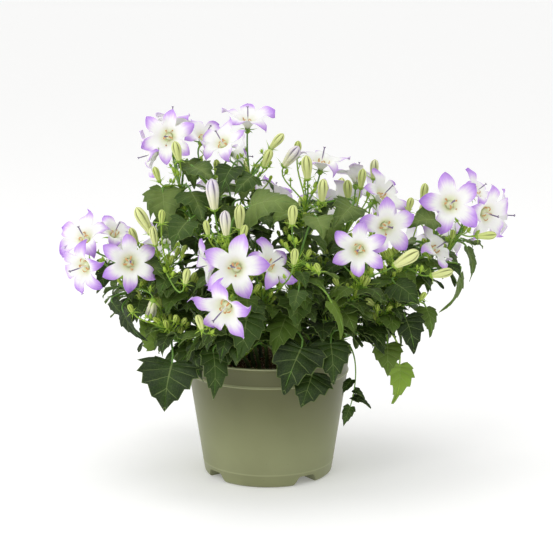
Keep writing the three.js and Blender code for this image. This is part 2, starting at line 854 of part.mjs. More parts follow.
// The skin of a stalk with five sides, from a point inside the stem to a ring round its end.
// Each ring is turned so that its corners line up with the sepals.
function stalkSkin(route, frame, steps, radius) {
  const points = [route.getPoint(0)];
  let upward = frame.upward;
  const rings = [];
  for (let i = steps; i >= 1; i -= 1) {
    const tangent = route.getTangent(i / steps);
    upward = upward.clone().addScaledVector(tangent, -upward.dot(tangent)).normalize();
    rings.unshift({ at: route.getPoint(i / steps), upward, sideways: upward.clone().cross(tangent) });
  }
  for (const ring of rings) {
    for (let i = 0; i < 5; i += 1) {
      points.push(around(ring.at, { ...ring, axis: UP }, radius, (i * 2 * Math.PI) / 5, 0));
    }
  }
  const faces = [];
  for (let i = 0; i < 5; i += 1) {
    const next = (i + 1) % 5;
    faces.push([0, 1 + i, 1 + next]);
    for (let k = 0; k < steps - 1; k += 1) {
      const [a, b] = [1 + 5 * k + i, 1 + 5 * k + next];
      faces.push([a, a + 5, b], [b, a + 5, b + 5]);
    }
  }
  return { points, faces, last: 1 + 5 * (steps - 1) };
}

// Five sepals on the end of a stalk: each runs out from the stalk's ring to a tip, between two notches.
function addSepals(skin, centre, frame, reach, along, notch) {
  const { points, faces, last } = skin;
  const first = points.length;
  for (let i = 0; i < 5; i += 1) {
    const angle = (i * 2 * Math.PI) / 5;
    points.push(around(centre, frame, notch[0], angle - Math.PI / 5, notch[1]));
    points.push(around(centre, frame, reach, angle, along));
  }
  for (let i = 0; i < 5; i += 1) {
    const low = first + 2 * i;
    const next = first + 2 * ((i + 1) % 5);
    faces.push([last + i, low, low + 1], [last + i, low + 1, next], [last + i, next, last + ((i + 1) % 5)]);
  }
  return first;
}

// A bloom's stalk and its calyx: a star of five sepals behind the petals.
function calyxGeometry(bloom) {
  const { throat, frame, stalk } = bloom;
  const skin = stalkSkin(stalk, frame, 2, PEDICEL_RADIUS);
  const first = addSepals(skin, throat, frame, SEPAL_REACH, -2.8, [2.4, -1.4]);
  const centre = skin.points.length;
  skin.points.push(around(throat, frame, 0, 0, -0.8));
  for (let i = 0; i < 10; i += 1) {
    skin.faces.push([centre, first + ((i + 1) % 10), first + i]);
  }
  return facesOf(skin.points, skin.faces);
}

const SMALL_BUD = 12;

// A bud on its stalk: a pointed spindle of furled petals with the sepals standing out from its foot.
function budGeometry(bud) {
  const { foot, frame, length, reach, stalk } = bud;
  const girth = Math.min(0.19 * length, 4.2);
  const skin = stalkSkin(stalk, frame, length < SMALL_BUD ? 1 : 2, PEDICEL_RADIUS);
  const low = addSepals(skin, foot, frame, reach, 0.45 * reach, [0.6 * girth, 2.4]);
  const high = skin.points.length;
  for (let i = 0; i < 5; i += 1) {
    const angle = (i * 2 * Math.PI) / 5 - Math.PI / 5;
    skin.points.push(around(foot, frame, girth, angle, 0.42 * length));
  }
  skin.points.push(around(foot, frame, 0, 0, length));
  for (let i = 0; i < 5; i += 1) {
    const [here, next] = [low + 2 * i, low + 2 * ((i + 1) % 5)];
    const [over, overNext] = [high + i, high + ((i + 1) % 5)];
    skin.faces.push([here, next, here + 1], [here, over, next], [next, over, overNext]);
    skin.faces.push([over, high + 5, overNext]);
  }
  return facesOf(skin.points, skin.faces);
}

// A leaf's edge from the stalk to the tip, as shares of its length and of half its width.
const LARGE_EDGE = [[-0.06, 0.5], [0.14, 1], [0.27, 0.74], [0.45, 0.84], [0.55, 0.52], [0.74, 0.46]];
const SMALL_EDGE = [[0.14, 1], [0.3, 0.72], [0.5, 0.76]];
const LARGE_LEAF = 34;
const STALK_WIDTH = 1.8;

// A leaf and its stalk in one thin blade, from inside the stem to the tip.
function leafGeometry(leaf) {
  const edge = leaf.length >= LARGE_LEAF ? LARGE_EDGE : SMALL_EDGE;
  const halfway = leaf.stalk.getPoint(0.5);
  const tangent = leaf.stalk.getTangent(0.5);
  const side = leaf.side.clone().addScaledVector(tangent, -leaf.side.dot(tangent)).normalize();
  const neck = STALK_WIDTH / leaf.width;
  const points = [
    leaf.stalk.getPoint(0),
    halfway.clone().addScaledVector(side, -STALK_WIDTH / 2),
    halfway.clone().addScaledVector(side, STALK_WIDTH / 2),
    leafPoint(leaf, 0, -neck),
    leafPoint(leaf, 0, neck),
  ];
  const faces = [[0, 2, 1], [1, 2, 4], [1, 4, 3]];
  const left = 3;
  const middle = points.length;
  points.push(leafPoint(leaf, 0.4, 0));
  const rim = [left + 1];
  for (const [share, out] of edge) {
    rim.push(points.length);
    points.push(leafPoint(leaf, share, out));
  }
  rim.push(points.length);
  points.push(leafPoint(leaf, 1, 0));
  for (const [share, out] of edge.toReversed()) {
    rim.push(points.length);
    points.push(leafPoint(leaf, share, -out));
  }
  rim.push(left);
  rim.forEach((corner, i) => {
    faces.push([middle, corner, rim[(i + 1) % rim.length]]);
  });
  return thicken(points, faces, BLADE_THICK);
}

// A leafy stem: the stem with its stalks, calyces, buds and leaves, grown together.
function shootGeometry(shoot) {
  const pieces = [tube(shoot.stem, STEM_RADIUS, 3, STEM_STEPS)];
  for (const bloom of shoot.blooms) {
    pieces.push(calyxGeometry(bloom));
  }
  for (const bud of shoot.buds) {
    pieces.push(budGeometry(bud));
  }
  for (const leaf of shoot.leaves) {
    pieces.push(leafGeometry(leaf));
  }
  return geometryOf(joined(pieces));
}

// The pot: a moulded shell with a bead under its band, a lip, and four drainage channels across its base.
const LATHE_SEGMENTS = 32;
const CHANNELS = 4;
const CHANNEL_INNER = 17;
const CHANNEL_FOOT = 24;
const CHANNEL_ROOF = 14;
const DRAIN_REACH = 38;
const DRAIN_RADIUS = 4;

function turned(profile) {
  const points = profile.map(([reach, height]) => new THREE.Vector2(reach, height));
  const geometry = new THREE.LatheGeometry(points, LATHE_SEGMENTS);
  return geometry.rotateX(Math.PI / 2);
}

// One channel's trapezoid, grown by a margin, laid outwards along its direction.
function channel(number, margin) {
  const foot = CHANNEL_FOOT / 2 + margin;
  const roof = CHANNEL_ROOF / 2 + margin;
  const outline = new THREE.Shape([
    new THREE.Vector2(-foot - 1, -2),
    new THREE.Vector2(foot + 1, -2),
    new THREE.Vector2(roof, CHANNEL_HEIGHT + margin),
    new THREE.Vector2(-roof, CHANNEL_HEIGHT + margin),
  ]);
  const length = RIM_RADIUS - CHANNEL_INNER + margin;
  const bar = new THREE.ExtrudeGeometry(outline, { depth: length, bevelEnabled: false });
  bar.rotateX(Math.PI / 2).translate(0, -CHANNEL_INNER + margin, 0);
  return bar.rotateZ(radians(CHANNEL_TURN + (360 / CHANNELS) * number));
}

function channels(margin) {
  const numbers = Array.from({ length: CHANNELS }, (_, number) => number);
  return joined(numbers.map((number) => channel(number, margin)));
}

function wallReach(height) {
  return lerp(BASE_RADIUS, BASE_RADIUS + 12.6, (height - 3) / (BEAD_HEIGHT - 5));
}

function cavity(gap, top) {
  const reachAt = (height) => wallReach(height) - POT_WALL - gap;
  const floor = FLOOR + gap;
  const foot = [[0, floor], [reachAt(floor + 1) - 2, floor], [reachAt(floor + 3), floor + 2]];
  return turned([...foot, ...top, [0, top.at(-1)[1]]]);
}

function potGeometry() {
  const shell = turned([
    [0, 0],
    [BASE_RADIUS - 3, 0],
    [BASE_RADIUS, 3],
    [wallReach(BEAD_HEIGHT - 2), BEAD_HEIGHT - 2],
    [wallReach(BEAD_HEIGHT) + 1, BEAD_HEIGHT - 0.5],
    [RIM_RADIUS - 3, BEAD_HEIGHT + 1],
    [RIM_RADIUS - 1, POT_HEIGHT - 2.6],
    [RIM_RADIUS, POT_HEIGHT - 1.8],
    [RIM_RADIUS, POT_HEIGHT],
    [0, POT_HEIGHT],
  ]);
  const mouth = RIM_RADIUS - 2.4;
  const inside = cavity(0, [[wallReach(BEAD_HEIGHT) - POT_WALL, BEAD_HEIGHT], [mouth, POT_HEIGHT + 1]]);
  let pot = solidOf(shell).subtract(solidOf(inside).subtract(channels(POT_WALL)));
  pot = pot.subtract(channels(0));
  for (let i = 0; i < CHANNELS; i += 1) {
    const hole = new THREE.CylinderGeometry(DRAIN_RADIUS, DRAIN_RADIUS, 30, 8).rotateX(Math.PI / 2);
    hole.translate(0, -DRAIN_REACH, 0).rotateZ(radians(CHANNEL_TURN + (360 / CHANNELS) * i));
    pot = pot.subtract(solidOf(hole));
  }
  return geometryOf(pot);
}

// The soil fills the pot to a little under its rim, with a plain hole for the foot of each stem.
const HOLE_RADIUS = 2.7;

function soilGeometry(shoots) {
  const edge = wallReach(BEAD_HEIGHT) - POT_WALL - GAP;
  const top = [[edge, BEAD_HEIGHT], [edge + 1, SOIL_TOP - 1], [0, SOIL_TOP]];
  let soil = solidOf(cavity(GAP, top)).subtract(channels(POT_WALL + GAP));
  for (const { spine } of shoots) {
    const foot = spine[0];
    const direction = spine[1].clone().sub(foot).normalize();
    const start = foot.clone().addScaledVector(direction, -GAP);
    const end = start.clone().addScaledVector(direction, STEM_DEPTH + 8);
    soil = soil.subtract(solidOf(tube(new THREE.LineCurve3(start, end), HOLE_RADIUS, 4, 1)));
  }
  return geometryOf(soil);
}

// Finishes seen in daylight: sage green plastic, dark peat, leaf green and white petals tipped in lilac.
const potPlastic = () => new THREE.MeshStandardMaterial({ color: "#8f9a72", roughness: 0.5, metalness: 0 });
const peat = () => new THREE.MeshStandardMaterial({ color: "#2a1a12", roughness: 1, metalness: 0 });
const leafGreen = () => new THREE.MeshStandardMaterial({ color: "#466030", roughness: 0.6, metalness: 0 });
const petalLilac = () => new THREE.MeshStandardMaterial({ color: "#d9c6f2", roughness: 0.7, metalness: 0 });

function named(name, geometry, material) {
  const mesh = new THREE.Mesh(geometry, material);
  mesh.name = name;
  return mesh;
}

const group = new THREE.Group();
const shoots = growPlant();
group.add(named("pot", potGeometry(), potPlastic()));
group.add(named("soil", soilGeometry(shoots), peat()));
for (const shoot of shoots) {
  group.add(named(`leafy_stem_${shoot.name}`, shootGeometry(shoot), leafGreen()));
  for (const bloom of shoot.blooms) {
    group.add(named(bloom.owner, bloomGeometry(bloom), petalLilac()));
  }
}

export default group;
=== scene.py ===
# %% [markdown]
# # A potted bellflower
# A young campanula in full bloom: white stars tipped in lilac on branching stems, in a moulded nursery pot.
# The solids of the part come first. They fix where each stem, bloom, bud and large leaf stands. This script
# grows the same plant again from the same list and the same seeded draws, and gives each piece the fine
# form and the finish of the real one: veined toothed leaves, soft petals, pleated buds, hairs, peat.

# %% Load the solids and keep their box
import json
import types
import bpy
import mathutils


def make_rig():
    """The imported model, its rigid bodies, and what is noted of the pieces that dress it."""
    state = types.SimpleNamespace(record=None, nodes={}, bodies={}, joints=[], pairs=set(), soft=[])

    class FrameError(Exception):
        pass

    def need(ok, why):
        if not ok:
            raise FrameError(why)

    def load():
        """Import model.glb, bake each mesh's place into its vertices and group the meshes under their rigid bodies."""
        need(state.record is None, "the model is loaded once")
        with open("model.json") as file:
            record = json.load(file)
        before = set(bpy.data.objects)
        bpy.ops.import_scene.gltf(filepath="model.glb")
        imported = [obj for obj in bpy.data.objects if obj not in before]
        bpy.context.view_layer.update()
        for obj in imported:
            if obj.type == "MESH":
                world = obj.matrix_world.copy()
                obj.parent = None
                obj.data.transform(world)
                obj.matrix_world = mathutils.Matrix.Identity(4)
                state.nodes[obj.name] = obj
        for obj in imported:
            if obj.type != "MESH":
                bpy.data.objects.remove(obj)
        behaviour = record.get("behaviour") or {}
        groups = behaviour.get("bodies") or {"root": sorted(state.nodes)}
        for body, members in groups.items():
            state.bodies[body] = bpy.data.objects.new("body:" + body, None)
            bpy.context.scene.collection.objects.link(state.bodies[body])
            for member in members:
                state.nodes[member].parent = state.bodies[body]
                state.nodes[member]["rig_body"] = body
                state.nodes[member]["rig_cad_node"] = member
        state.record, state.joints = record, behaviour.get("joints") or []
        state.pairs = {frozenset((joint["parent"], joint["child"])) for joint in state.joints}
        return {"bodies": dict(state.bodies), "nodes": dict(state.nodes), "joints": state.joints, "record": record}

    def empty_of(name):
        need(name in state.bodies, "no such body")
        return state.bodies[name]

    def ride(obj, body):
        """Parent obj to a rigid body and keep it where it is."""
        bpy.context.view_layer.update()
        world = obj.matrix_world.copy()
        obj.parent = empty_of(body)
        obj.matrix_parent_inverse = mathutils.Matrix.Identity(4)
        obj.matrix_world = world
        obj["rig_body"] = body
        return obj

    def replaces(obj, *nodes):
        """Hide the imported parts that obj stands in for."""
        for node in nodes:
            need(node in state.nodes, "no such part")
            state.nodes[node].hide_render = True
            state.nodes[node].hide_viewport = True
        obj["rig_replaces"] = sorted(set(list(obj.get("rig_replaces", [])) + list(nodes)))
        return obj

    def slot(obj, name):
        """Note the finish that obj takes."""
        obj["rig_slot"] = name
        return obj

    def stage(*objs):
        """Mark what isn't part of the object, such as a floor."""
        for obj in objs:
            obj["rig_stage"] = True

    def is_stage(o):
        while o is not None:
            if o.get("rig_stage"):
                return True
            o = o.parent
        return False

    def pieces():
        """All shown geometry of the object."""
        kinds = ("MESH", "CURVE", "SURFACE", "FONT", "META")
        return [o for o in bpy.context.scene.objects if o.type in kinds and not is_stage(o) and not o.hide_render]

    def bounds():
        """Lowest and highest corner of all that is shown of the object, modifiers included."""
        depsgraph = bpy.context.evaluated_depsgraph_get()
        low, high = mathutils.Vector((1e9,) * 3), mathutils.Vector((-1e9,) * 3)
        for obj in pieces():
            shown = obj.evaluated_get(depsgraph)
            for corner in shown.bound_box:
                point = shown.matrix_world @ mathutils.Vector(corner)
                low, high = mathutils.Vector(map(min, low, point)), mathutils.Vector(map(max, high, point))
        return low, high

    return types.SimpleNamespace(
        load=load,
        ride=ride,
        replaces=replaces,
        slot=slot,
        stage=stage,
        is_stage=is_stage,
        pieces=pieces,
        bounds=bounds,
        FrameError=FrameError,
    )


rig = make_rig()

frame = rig.load()

import functools
import json
import math
from types import SimpleNamespace

import bmesh
import bpy
import mathutils
import mathutils.noise
import numpy as np

cad_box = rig.bounds()
print("solids:", len(frame["nodes"]))

# %% [markdown]
# ## Measures
# A plant has no drawing, but it has habits: a common 14 cm pot, stems 3 mm thick, blooms 40 to 56 mm
# across. These are the driving values of the solids, in millimetres. The meshes are made in millimetres too
# and scaled to metres where a piece is finished.

# %% Driving values
MM = 0.001
POT_HEIGHT = 105
RIM_RADIUS = 70
BASE_RADIUS = 54
POT_WALL = 1.6
BEAD_HEIGHT = 88
CHANNEL_HEIGHT = 8
CHANNEL_TURN = 36
SOIL_TOP = 97
STEM_RADIUS = 1.5
PEDICEL_RADIUS = 0.75
STEM_DEPTH = 9
STEM_STEPS = 6
BLOOM_SEED = 5
BUD_SEED = 11
LEAF_SEED = 29
FINE_SEED = 71
print("soil below the lip:", POT_HEIGHT - SOIL_TOP, "mm")

# %% [markdown]
# ## Draws and directions
# No two leaves are alike, but this plant has to come out the same each time, so what nature leaves to
# chance comes from a seeded draw. Directions are given as a gardener would, by compass angle and lift, and
# each bloom, bud or leaf gets a small frame that its points are placed around.

# %% Helpers for draws and directions
UP = np.array([0.0, 0.0, 1.0])
STEEP = 0.94  # an axis steeper than this takes its upward direction from the back instead


def lerp(low, high, share):
    return low + (high - low) * share


def unit(vector):
    return vector / np.linalg.norm(vector)


def draw_from(seed):
    """A seeded draw of numbers from 0 to 1, the same on every machine."""
    modulus = 2147483647
    state = (seed * 7919) % modulus

    def draw():
        nonlocal state
        state = (state * 48271) % modulus
        return state / modulus

    return draw


def facing(azimuth, lift):
    """A direction from its compass angle (0 faces the front, 90 the right) and its lift above the horizon."""
    a, e = math.radians(azimuth), math.radians(lift)
    return np.array([math.sin(a) * math.cos(e), -math.cos(a) * math.cos(e), math.sin(e)])


def frame_of(axis):
    """Where a bloom, bud or leaf looks, with an upward and a sideways direction square to that."""
    reference = np.array([0.0, 1.0, 0.0]) if abs(axis[2]) > STEEP else UP
    upward = unit(reference - axis * (reference @ axis))
    return SimpleNamespace(axis=axis, upward=upward, sideways=np.cross(upward, axis))


def around(centre, at, reach, angle, along):
    """Points round an axis: how far out, at what angle from the upward direction, how far along it."""
    out = np.asarray(reach * np.cos(angle))[..., None] * at.upward
    out = out + np.asarray(reach * np.sin(angle))[..., None] * at.sideways
    return centre + out + np.asarray(along)[..., None] * at.axis


print("facing the front right:", np.round(facing(45, 10), 2))

# %% [markdown]
# ## The plant as a list
# Each shoot has the tip where its flowering head begins, its blooms as [base, azimuth, lift, span, petals],
# its buds as [base, azimuth, lift, length] and its large leaves as [base of the blade, tip, azimuth and
# lift of its upper face, width]. The places were read off the photograph, so that every bloom that
# can be seen is there, and the back carries its own.

# %% The shoots
SHOOTS = [
    {"name": "left_low", "tip": [-116, -28, 164],
     "blooms": [[[-144, -40, 185], -38, -8, 50, 6], [[-112, -45, 187], 12, 12, 52, 6]],
     "buds": [[[-92, -52, 158], -160, -55, 21]],
     "leaves": [[[-117, -42, 146], [-99, -52, 123], -60, 10, 17],
                [[-127, -33, 152], [-112, -40, 139], -70, 25, 14],
                [[-132, -12, 180], [-140, -26, 158], 20, 20, 20]]},
    {"name": "left_back", "tip": [-120, 8, 176],
     "blooms": [[[-149, -8, 197], -25, 46, 50, 5], [[-131, 18, 197], 40, 50, 40, 5]],
     "buds": [],
     "leaves": []},
    {"name": "top_left", "tip": [-74, 2, 246],
     "blooms": [[[-80, -10, 285], -6, 6, 48, 6], [[-92, 22, 268], -75, -15, 44, 5],
                [[-80, 27, 286], 175, 72, 44, 5]],
     "buds": [[[-71, -32, 268], -40, 72, 17], [[-88, -22, 250], -60, 70, 13]],
     "leaves": [[[-86, -14, 240], [-82, -32, 212], 0, 30, 34],
                [[-62, -28, 242], [-52, -48, 222], 20, 35, 30]]},
    {"name": "top_left_mid", "tip": [-48, 0, 247],
     "blooms": [[[-55, 17, 278], 36, 48, 42, 5], [[-35, -14, 277], -30, 46, 44, 5]],
     "buds": [],
     "leaves": [[[-60, -24, 262], [-42, -42, 250], 20, 40, 24]]},
    {"name": "top_mid", "tip": [-16, 14, 252],
     "blooms": [[[-17, 17, 289], 10, 74, 46, 5], [[-31, 42, 264], 110, -10, 42, 5]],
     "buds": [[[2, -10, 275], 70, 48, 17], [[-3, -24, 262], 40, 62, 17]],
     "leaves": [[[-29, -28, 262], [-38, -46, 244], -10, 40, 24],
                [[-12, -32, 256], [-26, -52, 244], 10, 45, 22]]},
    {"name": "top_right", "tip": [32, -10, 230],
     "blooms": [[[43, -8, 258], 30, 74, 48, 5]],
     "buds": [[[13, -12, 261], 70, 52, 21], [[32, -32, 253], -20, 80, 20], [[24, 8, 266], 20, 78, 14],
              [[43, -52, 238], 10, 72, 20]],
     "leaves": [[[68, -34, 232], [52, -56, 217], 0, 30, 30]]},
    {"name": "right_back", "tip": [66, 24, 200],
     "blooms": [[[74, 32, 240], 165, 68, 44, 5], [[62, 44, 222], 150, 24, 42, 5]],
     "buds": [[[66, 0, 232], -10, 76, 17], [[76, -6, 242], 30, 78, 17], [[88, 20, 246], 20, 80, 17]],
     "leaves": []},
    {"name": "right_mid", "tip": [86, -6, 200],
     "blooms": [[[90, -4, 232], 50, 38, 46, 5]],
     "buds": [[[113, -34, 227], 30, 68, 13]],
     "leaves": []},
    {"name": "right_front", "tip": [76, -66, 178],
     "blooms": [[[72, -84, 206], -8, 4, 48, 6], [[92, -60, 220], 16, 4, 50, 5]],
     "buds": [[[99, -88, 193], 70, 34, 23]],
     "leaves": []},
    {"name": "right_arm", "tip": [138, -20, 207],
     "blooms": [[[146, -32, 232], 6, 16, 52, 5], [[172, 30, 231], 60, 40, 40, 5]],
     "buds": [[[126, -14, 232], 20, 70, 17]],
     "leaves": [[[134, -44, 222], [110, -52, 219], -10, 50, 26]]},
    {"name": "right_tip", "tip": [158, -6, 205],
     "blooms": [[[174, -16, 224], 40, -6, 52, 5], [[186, 18, 216], 100, -4, 48, 5]],
     "buds": [[[168, -42, 208], 75, 8, 16]],
     "leaves": [[[164, -10, 192], [168, -16, 166], 60, 20, 16]]},
    {"name": "right_low", "tip": [112, -32, 182],
     "blooms": [[[130, -38, 194], 62, 32, 42, 5]],
     "buds": [[[130, -62, 180], 80, 14, 18]],
     "leaves": [[[157, -27, 174], [143, -33, 142], 70, 10, 17],
                [[102, -54, 172], [121, -70, 158], 0, 45, 28]]},
    {"name": "front_mid", "tip": [-26, -84, 176],
     "blooms": [[[-23, -112, 196], -8, 12, 54, 5], [[-40, -80, 194], -75, -14, 46, 5]],
     "buds": [],
     "leaves": [[[-16, -96, 156], [-22, -110, 122], 10, 15, 32]]},
    {"name": "front_right_bloom", "tip": [-4, -70, 168],
     "blooms": [[[-3, -86, 190], 56, 34, 48, 5]],
     "buds": [[[20, -110, 198], 20, 74, 14]],
     "leaves": [[[27, -80, 126], [12, -96, 92], -8, 22, 46], [[36, -76, 104], [27, -92, 80], -4, 14, 40]]},
    {"name": "front_low", "tip": [-38, -92, 146],
     "blooms": [[[-29, -122, 171], -30, -24, 56, 5]],
     "buds": [[[-50, -122, 150], -30, 64, 14]],
     "leaves": [[[-43, -87, 124], [-42, -96, 87], 22, 14, 26],
                [[-59, -72, 126], [-52, -88, 100], -30, 14, 18]]},
    {"name": "front_buds_left", "tip": [-34, -66, 196],
     "blooms": [],
     "buds": [[[-42, -62, 233], -20, 78, 26], [[-32, -90, 217], -10, 78, 21], [[-22, -76, 220], 10, 80, 20],
              [[-20, -94, 213], 40, 70, 15], [[-46, -88, 217], -30, 74, 13]],
     "leaves": [[[-64, -52, 222], [-76, -72, 204], -15, 40, 30],
                [[-14, -62, 236], [24, -78, 241], -5, 52, 40]]},
    {"name": "left_buds", "tip": [-88, -34, 186],
     "blooms": [],
     "buds": [[[-94, -42, 211], -60, 60, 25], [[-106, -30, 200], -60, 66, 15],
              [[-90, -48, 202], -20, 72, 17], [[-84, -62, 222], 10, 66, 13], [[-64, -96, 180], 30, 70, 14]],
     "leaves": [[[-102, -36, 188], [-82, -54, 176], 0, 50, 22]]},
    {"name": "front_buds_right", "tip": [24, -74, 196],
     "blooms": [],
     "buds": [[[19, -90, 226], 10, 70, 17], [[40, -98, 190], -40, 60, 9]],
     "leaves": [[[39, -70, 228], [43, -88, 216], 0, 45, 26], [[50, -90, 164], [60, -99, 138], 50, 20, 14],
                [[24, -94, 174], [20, -106, 159], -10, 25, 17]]},
    {"name": "right_skirt", "tip": [106, -40, 152],
     "blooms": [],
     "buds": [[[122, -60, 160], 40, 50, 9]],
     "leaves": [[[111, -50, 143], [118, -66, 118], 10, 24, 30],
                [[129, -36, 148], [133, -48, 127], 30, 20, 20], [[97, -46, 120], [97, -56, 96], 0, 22, 26],
                [[108, -36, 100], [104, -42, 68], 30, 10, 26], [[50, -74, 128], [52, -90, 98], 8, 22, 34]]},
    {"name": "left_skirt", "tip": [-84, -52, 136],
     "blooms": [],
     "buds": [[[-108, -62, 150], -30, 55, 9]],
     "leaves": [[[-76, -76, 112], [-82, -90, 76], -12, 24, 54],
                [[-90, -34, 118], [-106, -26, 136], -20, 30, 24]]},
    {"name": "back_left", "tip": [-98, 70, 150],
     "blooms": [[[-126, 80, 168], -115, 22, 50, 5], [[-92, 108, 174], -155, 26, 50, 6]],
     "buds": [[[-114, 52, 178], -90, 66, 18], [[-74, 84, 186], 180, 72, 20]],
     "leaves": [[[-84, 84, 124], [-96, 102, 92], -140, 22, 44]]},
    {"name": "back_mid", "tip": [-30, 92, 196],
     "blooms": [[[-44, 122, 216], -170, 24, 52, 5], [[2, 112, 214], 160, 44, 48, 5]],
     "buds": [[[-22, 84, 232], 180, 80, 22], [[-10, 122, 200], 170, 50, 15]],
     "leaves": [[[-20, 86, 130], [-16, 104, 96], 180, 20, 46],
                [[-38, 60, 236], [-44, 82, 222], -170, 50, 36]]},
    {"name": "back_right", "tip": [56, 88, 184],
     "blooms": [[[48, 124, 202], 172, 10, 52, 6], [[92, 106, 212], 140, 26, 50, 5]],
     "buds": [[[62, 84, 218], 150, 76, 20], [[30, 96, 206], -170, 60, 14]],
     "leaves": [[[46, 82, 126], [52, 98, 94], 165, 20, 42], [[40, 56, 222], [52, 78, 210], 160, 50, 34]]},
    {"name": "back_far_right", "tip": [118, 48, 166],
     "blooms": [[[146, 56, 188], 112, 14, 50, 5], [[120, 88, 176], 135, -4, 50, 5]],
     "buds": [[[128, 40, 206], 100, 68, 21]],
     "leaves": [[[90, 56, 124], [108, 66, 94], 120, 22, 40]]},
]
print(len(SHOOTS), "shoots,", sum(len(shoot["blooms"]) for shoot in SHOOTS), "blooms")

# %% [markdown]
# ## Room to grow
# Leaves and petals on a real plant seldom cut through each other, because each grows into free air. Testing
# meshes against each other would be slow, so small balls along each stem and over each blade keep track of
# what is taken. Every new stem, stalk and leaf tries a few ways and takes the first with room.

# %% Balls that mark what is taken
BODY, STEM, STALK, CALYX = range(4)
MOST_BALLS = 60000
taken = np.zeros((MOST_BALLS, 6))  # x, y, z, radius, kind, owner
taken_count = 0


def balls(points, radius, kind=BODY):
    """One ball at each point, as rows of x, y, z, radius and kind."""
    points = np.atleast_2d(points)
    marks = np.zeros((len(points), 5))
    marks[:, :3] = points
    marks[:, 3] = radius
    marks[:, 4] = kind
    return marks


def take(marks, owner):
    """Marks the room of some balls as taken by one shoot or bloom."""
    global taken_count
    taken[taken_count : taken_count + len(marks), :5] = marks
    taken[taken_count : taken_count + len(marks), 5] = owner
    taken_count += len(marks)


print("there is room for", MOST_BALLS, "balls")

# %% The room that is left
OWN_EASE = 1.2  # parts of one shoot may stand this much closer to each other
RIM_KEEP = 4
SOIL_KEEP = 1.5
NEARBY = 9
MAY_TOUCH = 50  # counts as this far away


def room_for(marks, owner):
    """How far some balls keep from the pot, the soil and all that is taken, up to a few millimetres."""
    at, radius, kind = marks[:, :3], marks[:, 3], marks[:, 4]
    reach = np.hypot(at[:, 0], at[:, 1])
    outside = np.maximum(reach - RIM_RADIUS, at[:, 2] - POT_HEIGHT)
    inside = np.minimum(RIM_RADIUS - RIM_KEEP - reach, at[:, 2] - SOIL_TOP - SOIL_KEEP)
    least = float((np.maximum(outside, inside) - radius).min())
    others = taken[:taken_count]
    near = np.all((others[:, :3] > at.min(0) - NEARBY) & (others[:, :3] < at.max(0) + NEARBY), axis=1)
    others = others[near]
    if not len(others):
        return least
    gap = np.linalg.norm(at[:, None] - others[None, :, :3], axis=2) - radius[:, None] - others[:, 3]
    own = others[:, 5] == owner
    gap[:, own] += OWN_EASE
    # A stalk may touch the stem it leaves and the calyx it carries.
    joins = own & np.isin(others[:, 4], (STEM, CALYX))
    gap[np.ix_(kind == STALK, joins)] = MAY_TOUCH
    return min(least, float(gap.min()))


def pick(choices, owner, enough):
    """The first of some (route, balls) choices that has enough room, or else the roomiest."""
    best, best_room = None, -1e9
    for route, marks in choices:
        room = room_for(marks, owner)
        if room > best_room:
            best, best_room = (route, marks), room
        if room >= enough:
            break
    return best


print("a ball 200 mm up has", room_for(balls([0, 0, 200], 5), 0), "mm of room")

# %% [markdown]
# ## Curved ways
# A stem leaves the soil upright and then leans out, and a stalk bends away from its stem and straightens
# towards its bloom. A curve that is drawn towards two points between its ends has just these bends.

# %% A smooth route through space
ROUTE_SAMPLES = 201


class Route:
    """A curve from a start to an end, drawn towards two points between them."""

    def __init__(self, start, first, second, end):
        self.corners = np.array([start, first, second, end])

    def at(self, share):
        t = np.asarray(share, float)[..., None]
        a, b, c, d = self.corners
        return a * (1 - t) ** 3 + b * 3 * (1 - t) ** 2 * t + c * 3 * (1 - t) * t**2 + d * t**3

    def even(self, steps):
        shares = np.linspace(0, 1, ROUTE_SAMPLES)
        hops = np.linalg.norm(np.diff(self.at(shares), axis=0), axis=1)
        length = np.concatenate([[0], np.cumsum(hops)])
        return self.at(np.interp(np.linspace(0, length[-1], steps + 1), length, shares))


def balls_along(route, start, end, count, radius, kind):
    return balls(route.at(np.linspace(start, end, count + 1)), radius, kind)


print("half way up 10 mm:", Route(0 * UP, 3 * UP, 7 * UP, 10 * UP).at(0.5)[2], "mm")

# %% [markdown]
# ## How the plant grows
# The blooms come first, where they are seen. Then each stem rises from the crown to its tip, each bloom,
# bud and leaf sends its stalk back to the stem, and more leaves follow in the spiral of 137.5 degrees that
# plants use. The order and the draws are those of the solids, so both give the same plant. A bloom's places
# are [reach, height], as shares of half its span.

# %% Blooms
PETAL_MIDDLE = (0.4, 0.36)
PETAL_NOTCH = (0.46, 0.46)
THROAT_BALL = 2.5
# Balls over one petal: where, how far aside as a share of half its width, and the ball's radius.
PETAL_BALLS = [
    ((0.22, 0.18), 0, 2.5), ((0.22, 0.2), 1, 2.5), (PETAL_MIDDLE, 0, 2.5), (PETAL_NOTCH, 1, 2.5),
    ((0.6, 0.5), -0.6, 2.5), ((0.6, 0.5), 0.6, 2.5), ((0.68, 0.52), 0, 2.5),
    ((0.8, 0.51), -0.36, 2), ((0.8, 0.51), 0.36, 2), ((0.93, 0.48), 0, 2)]
SEPALS = 5
SEPAL_REACH = 8.5
CALYX_DEPTH = 6.2
MOST_TURN = 14
draw_blooms = draw_from(BLOOM_SEED)


def bloom_of(entry, name, owner):
    """A bloom of the list, with a turn about its own axis and a depth that are drawn."""
    base, azimuth, lift, span, petals = entry
    turn = math.radians(lerp(-MOST_TURN, MOST_TURN, draw_blooms()))
    depth = lerp(0.85, 1.1, draw_blooms())
    look = frame_of(facing(azimuth, lift))
    throat = np.array(base, float)
    half_span = span / 2

    def ring(place, angle):
        reach, along = place
        return around(throat, look, reach * half_span, angle, along * half_span * depth)

    return SimpleNamespace(name=name, owner=owner, look=look, throat=throat, span=span, petals=petals,
                           turn=turn, depth=depth, ring=ring)


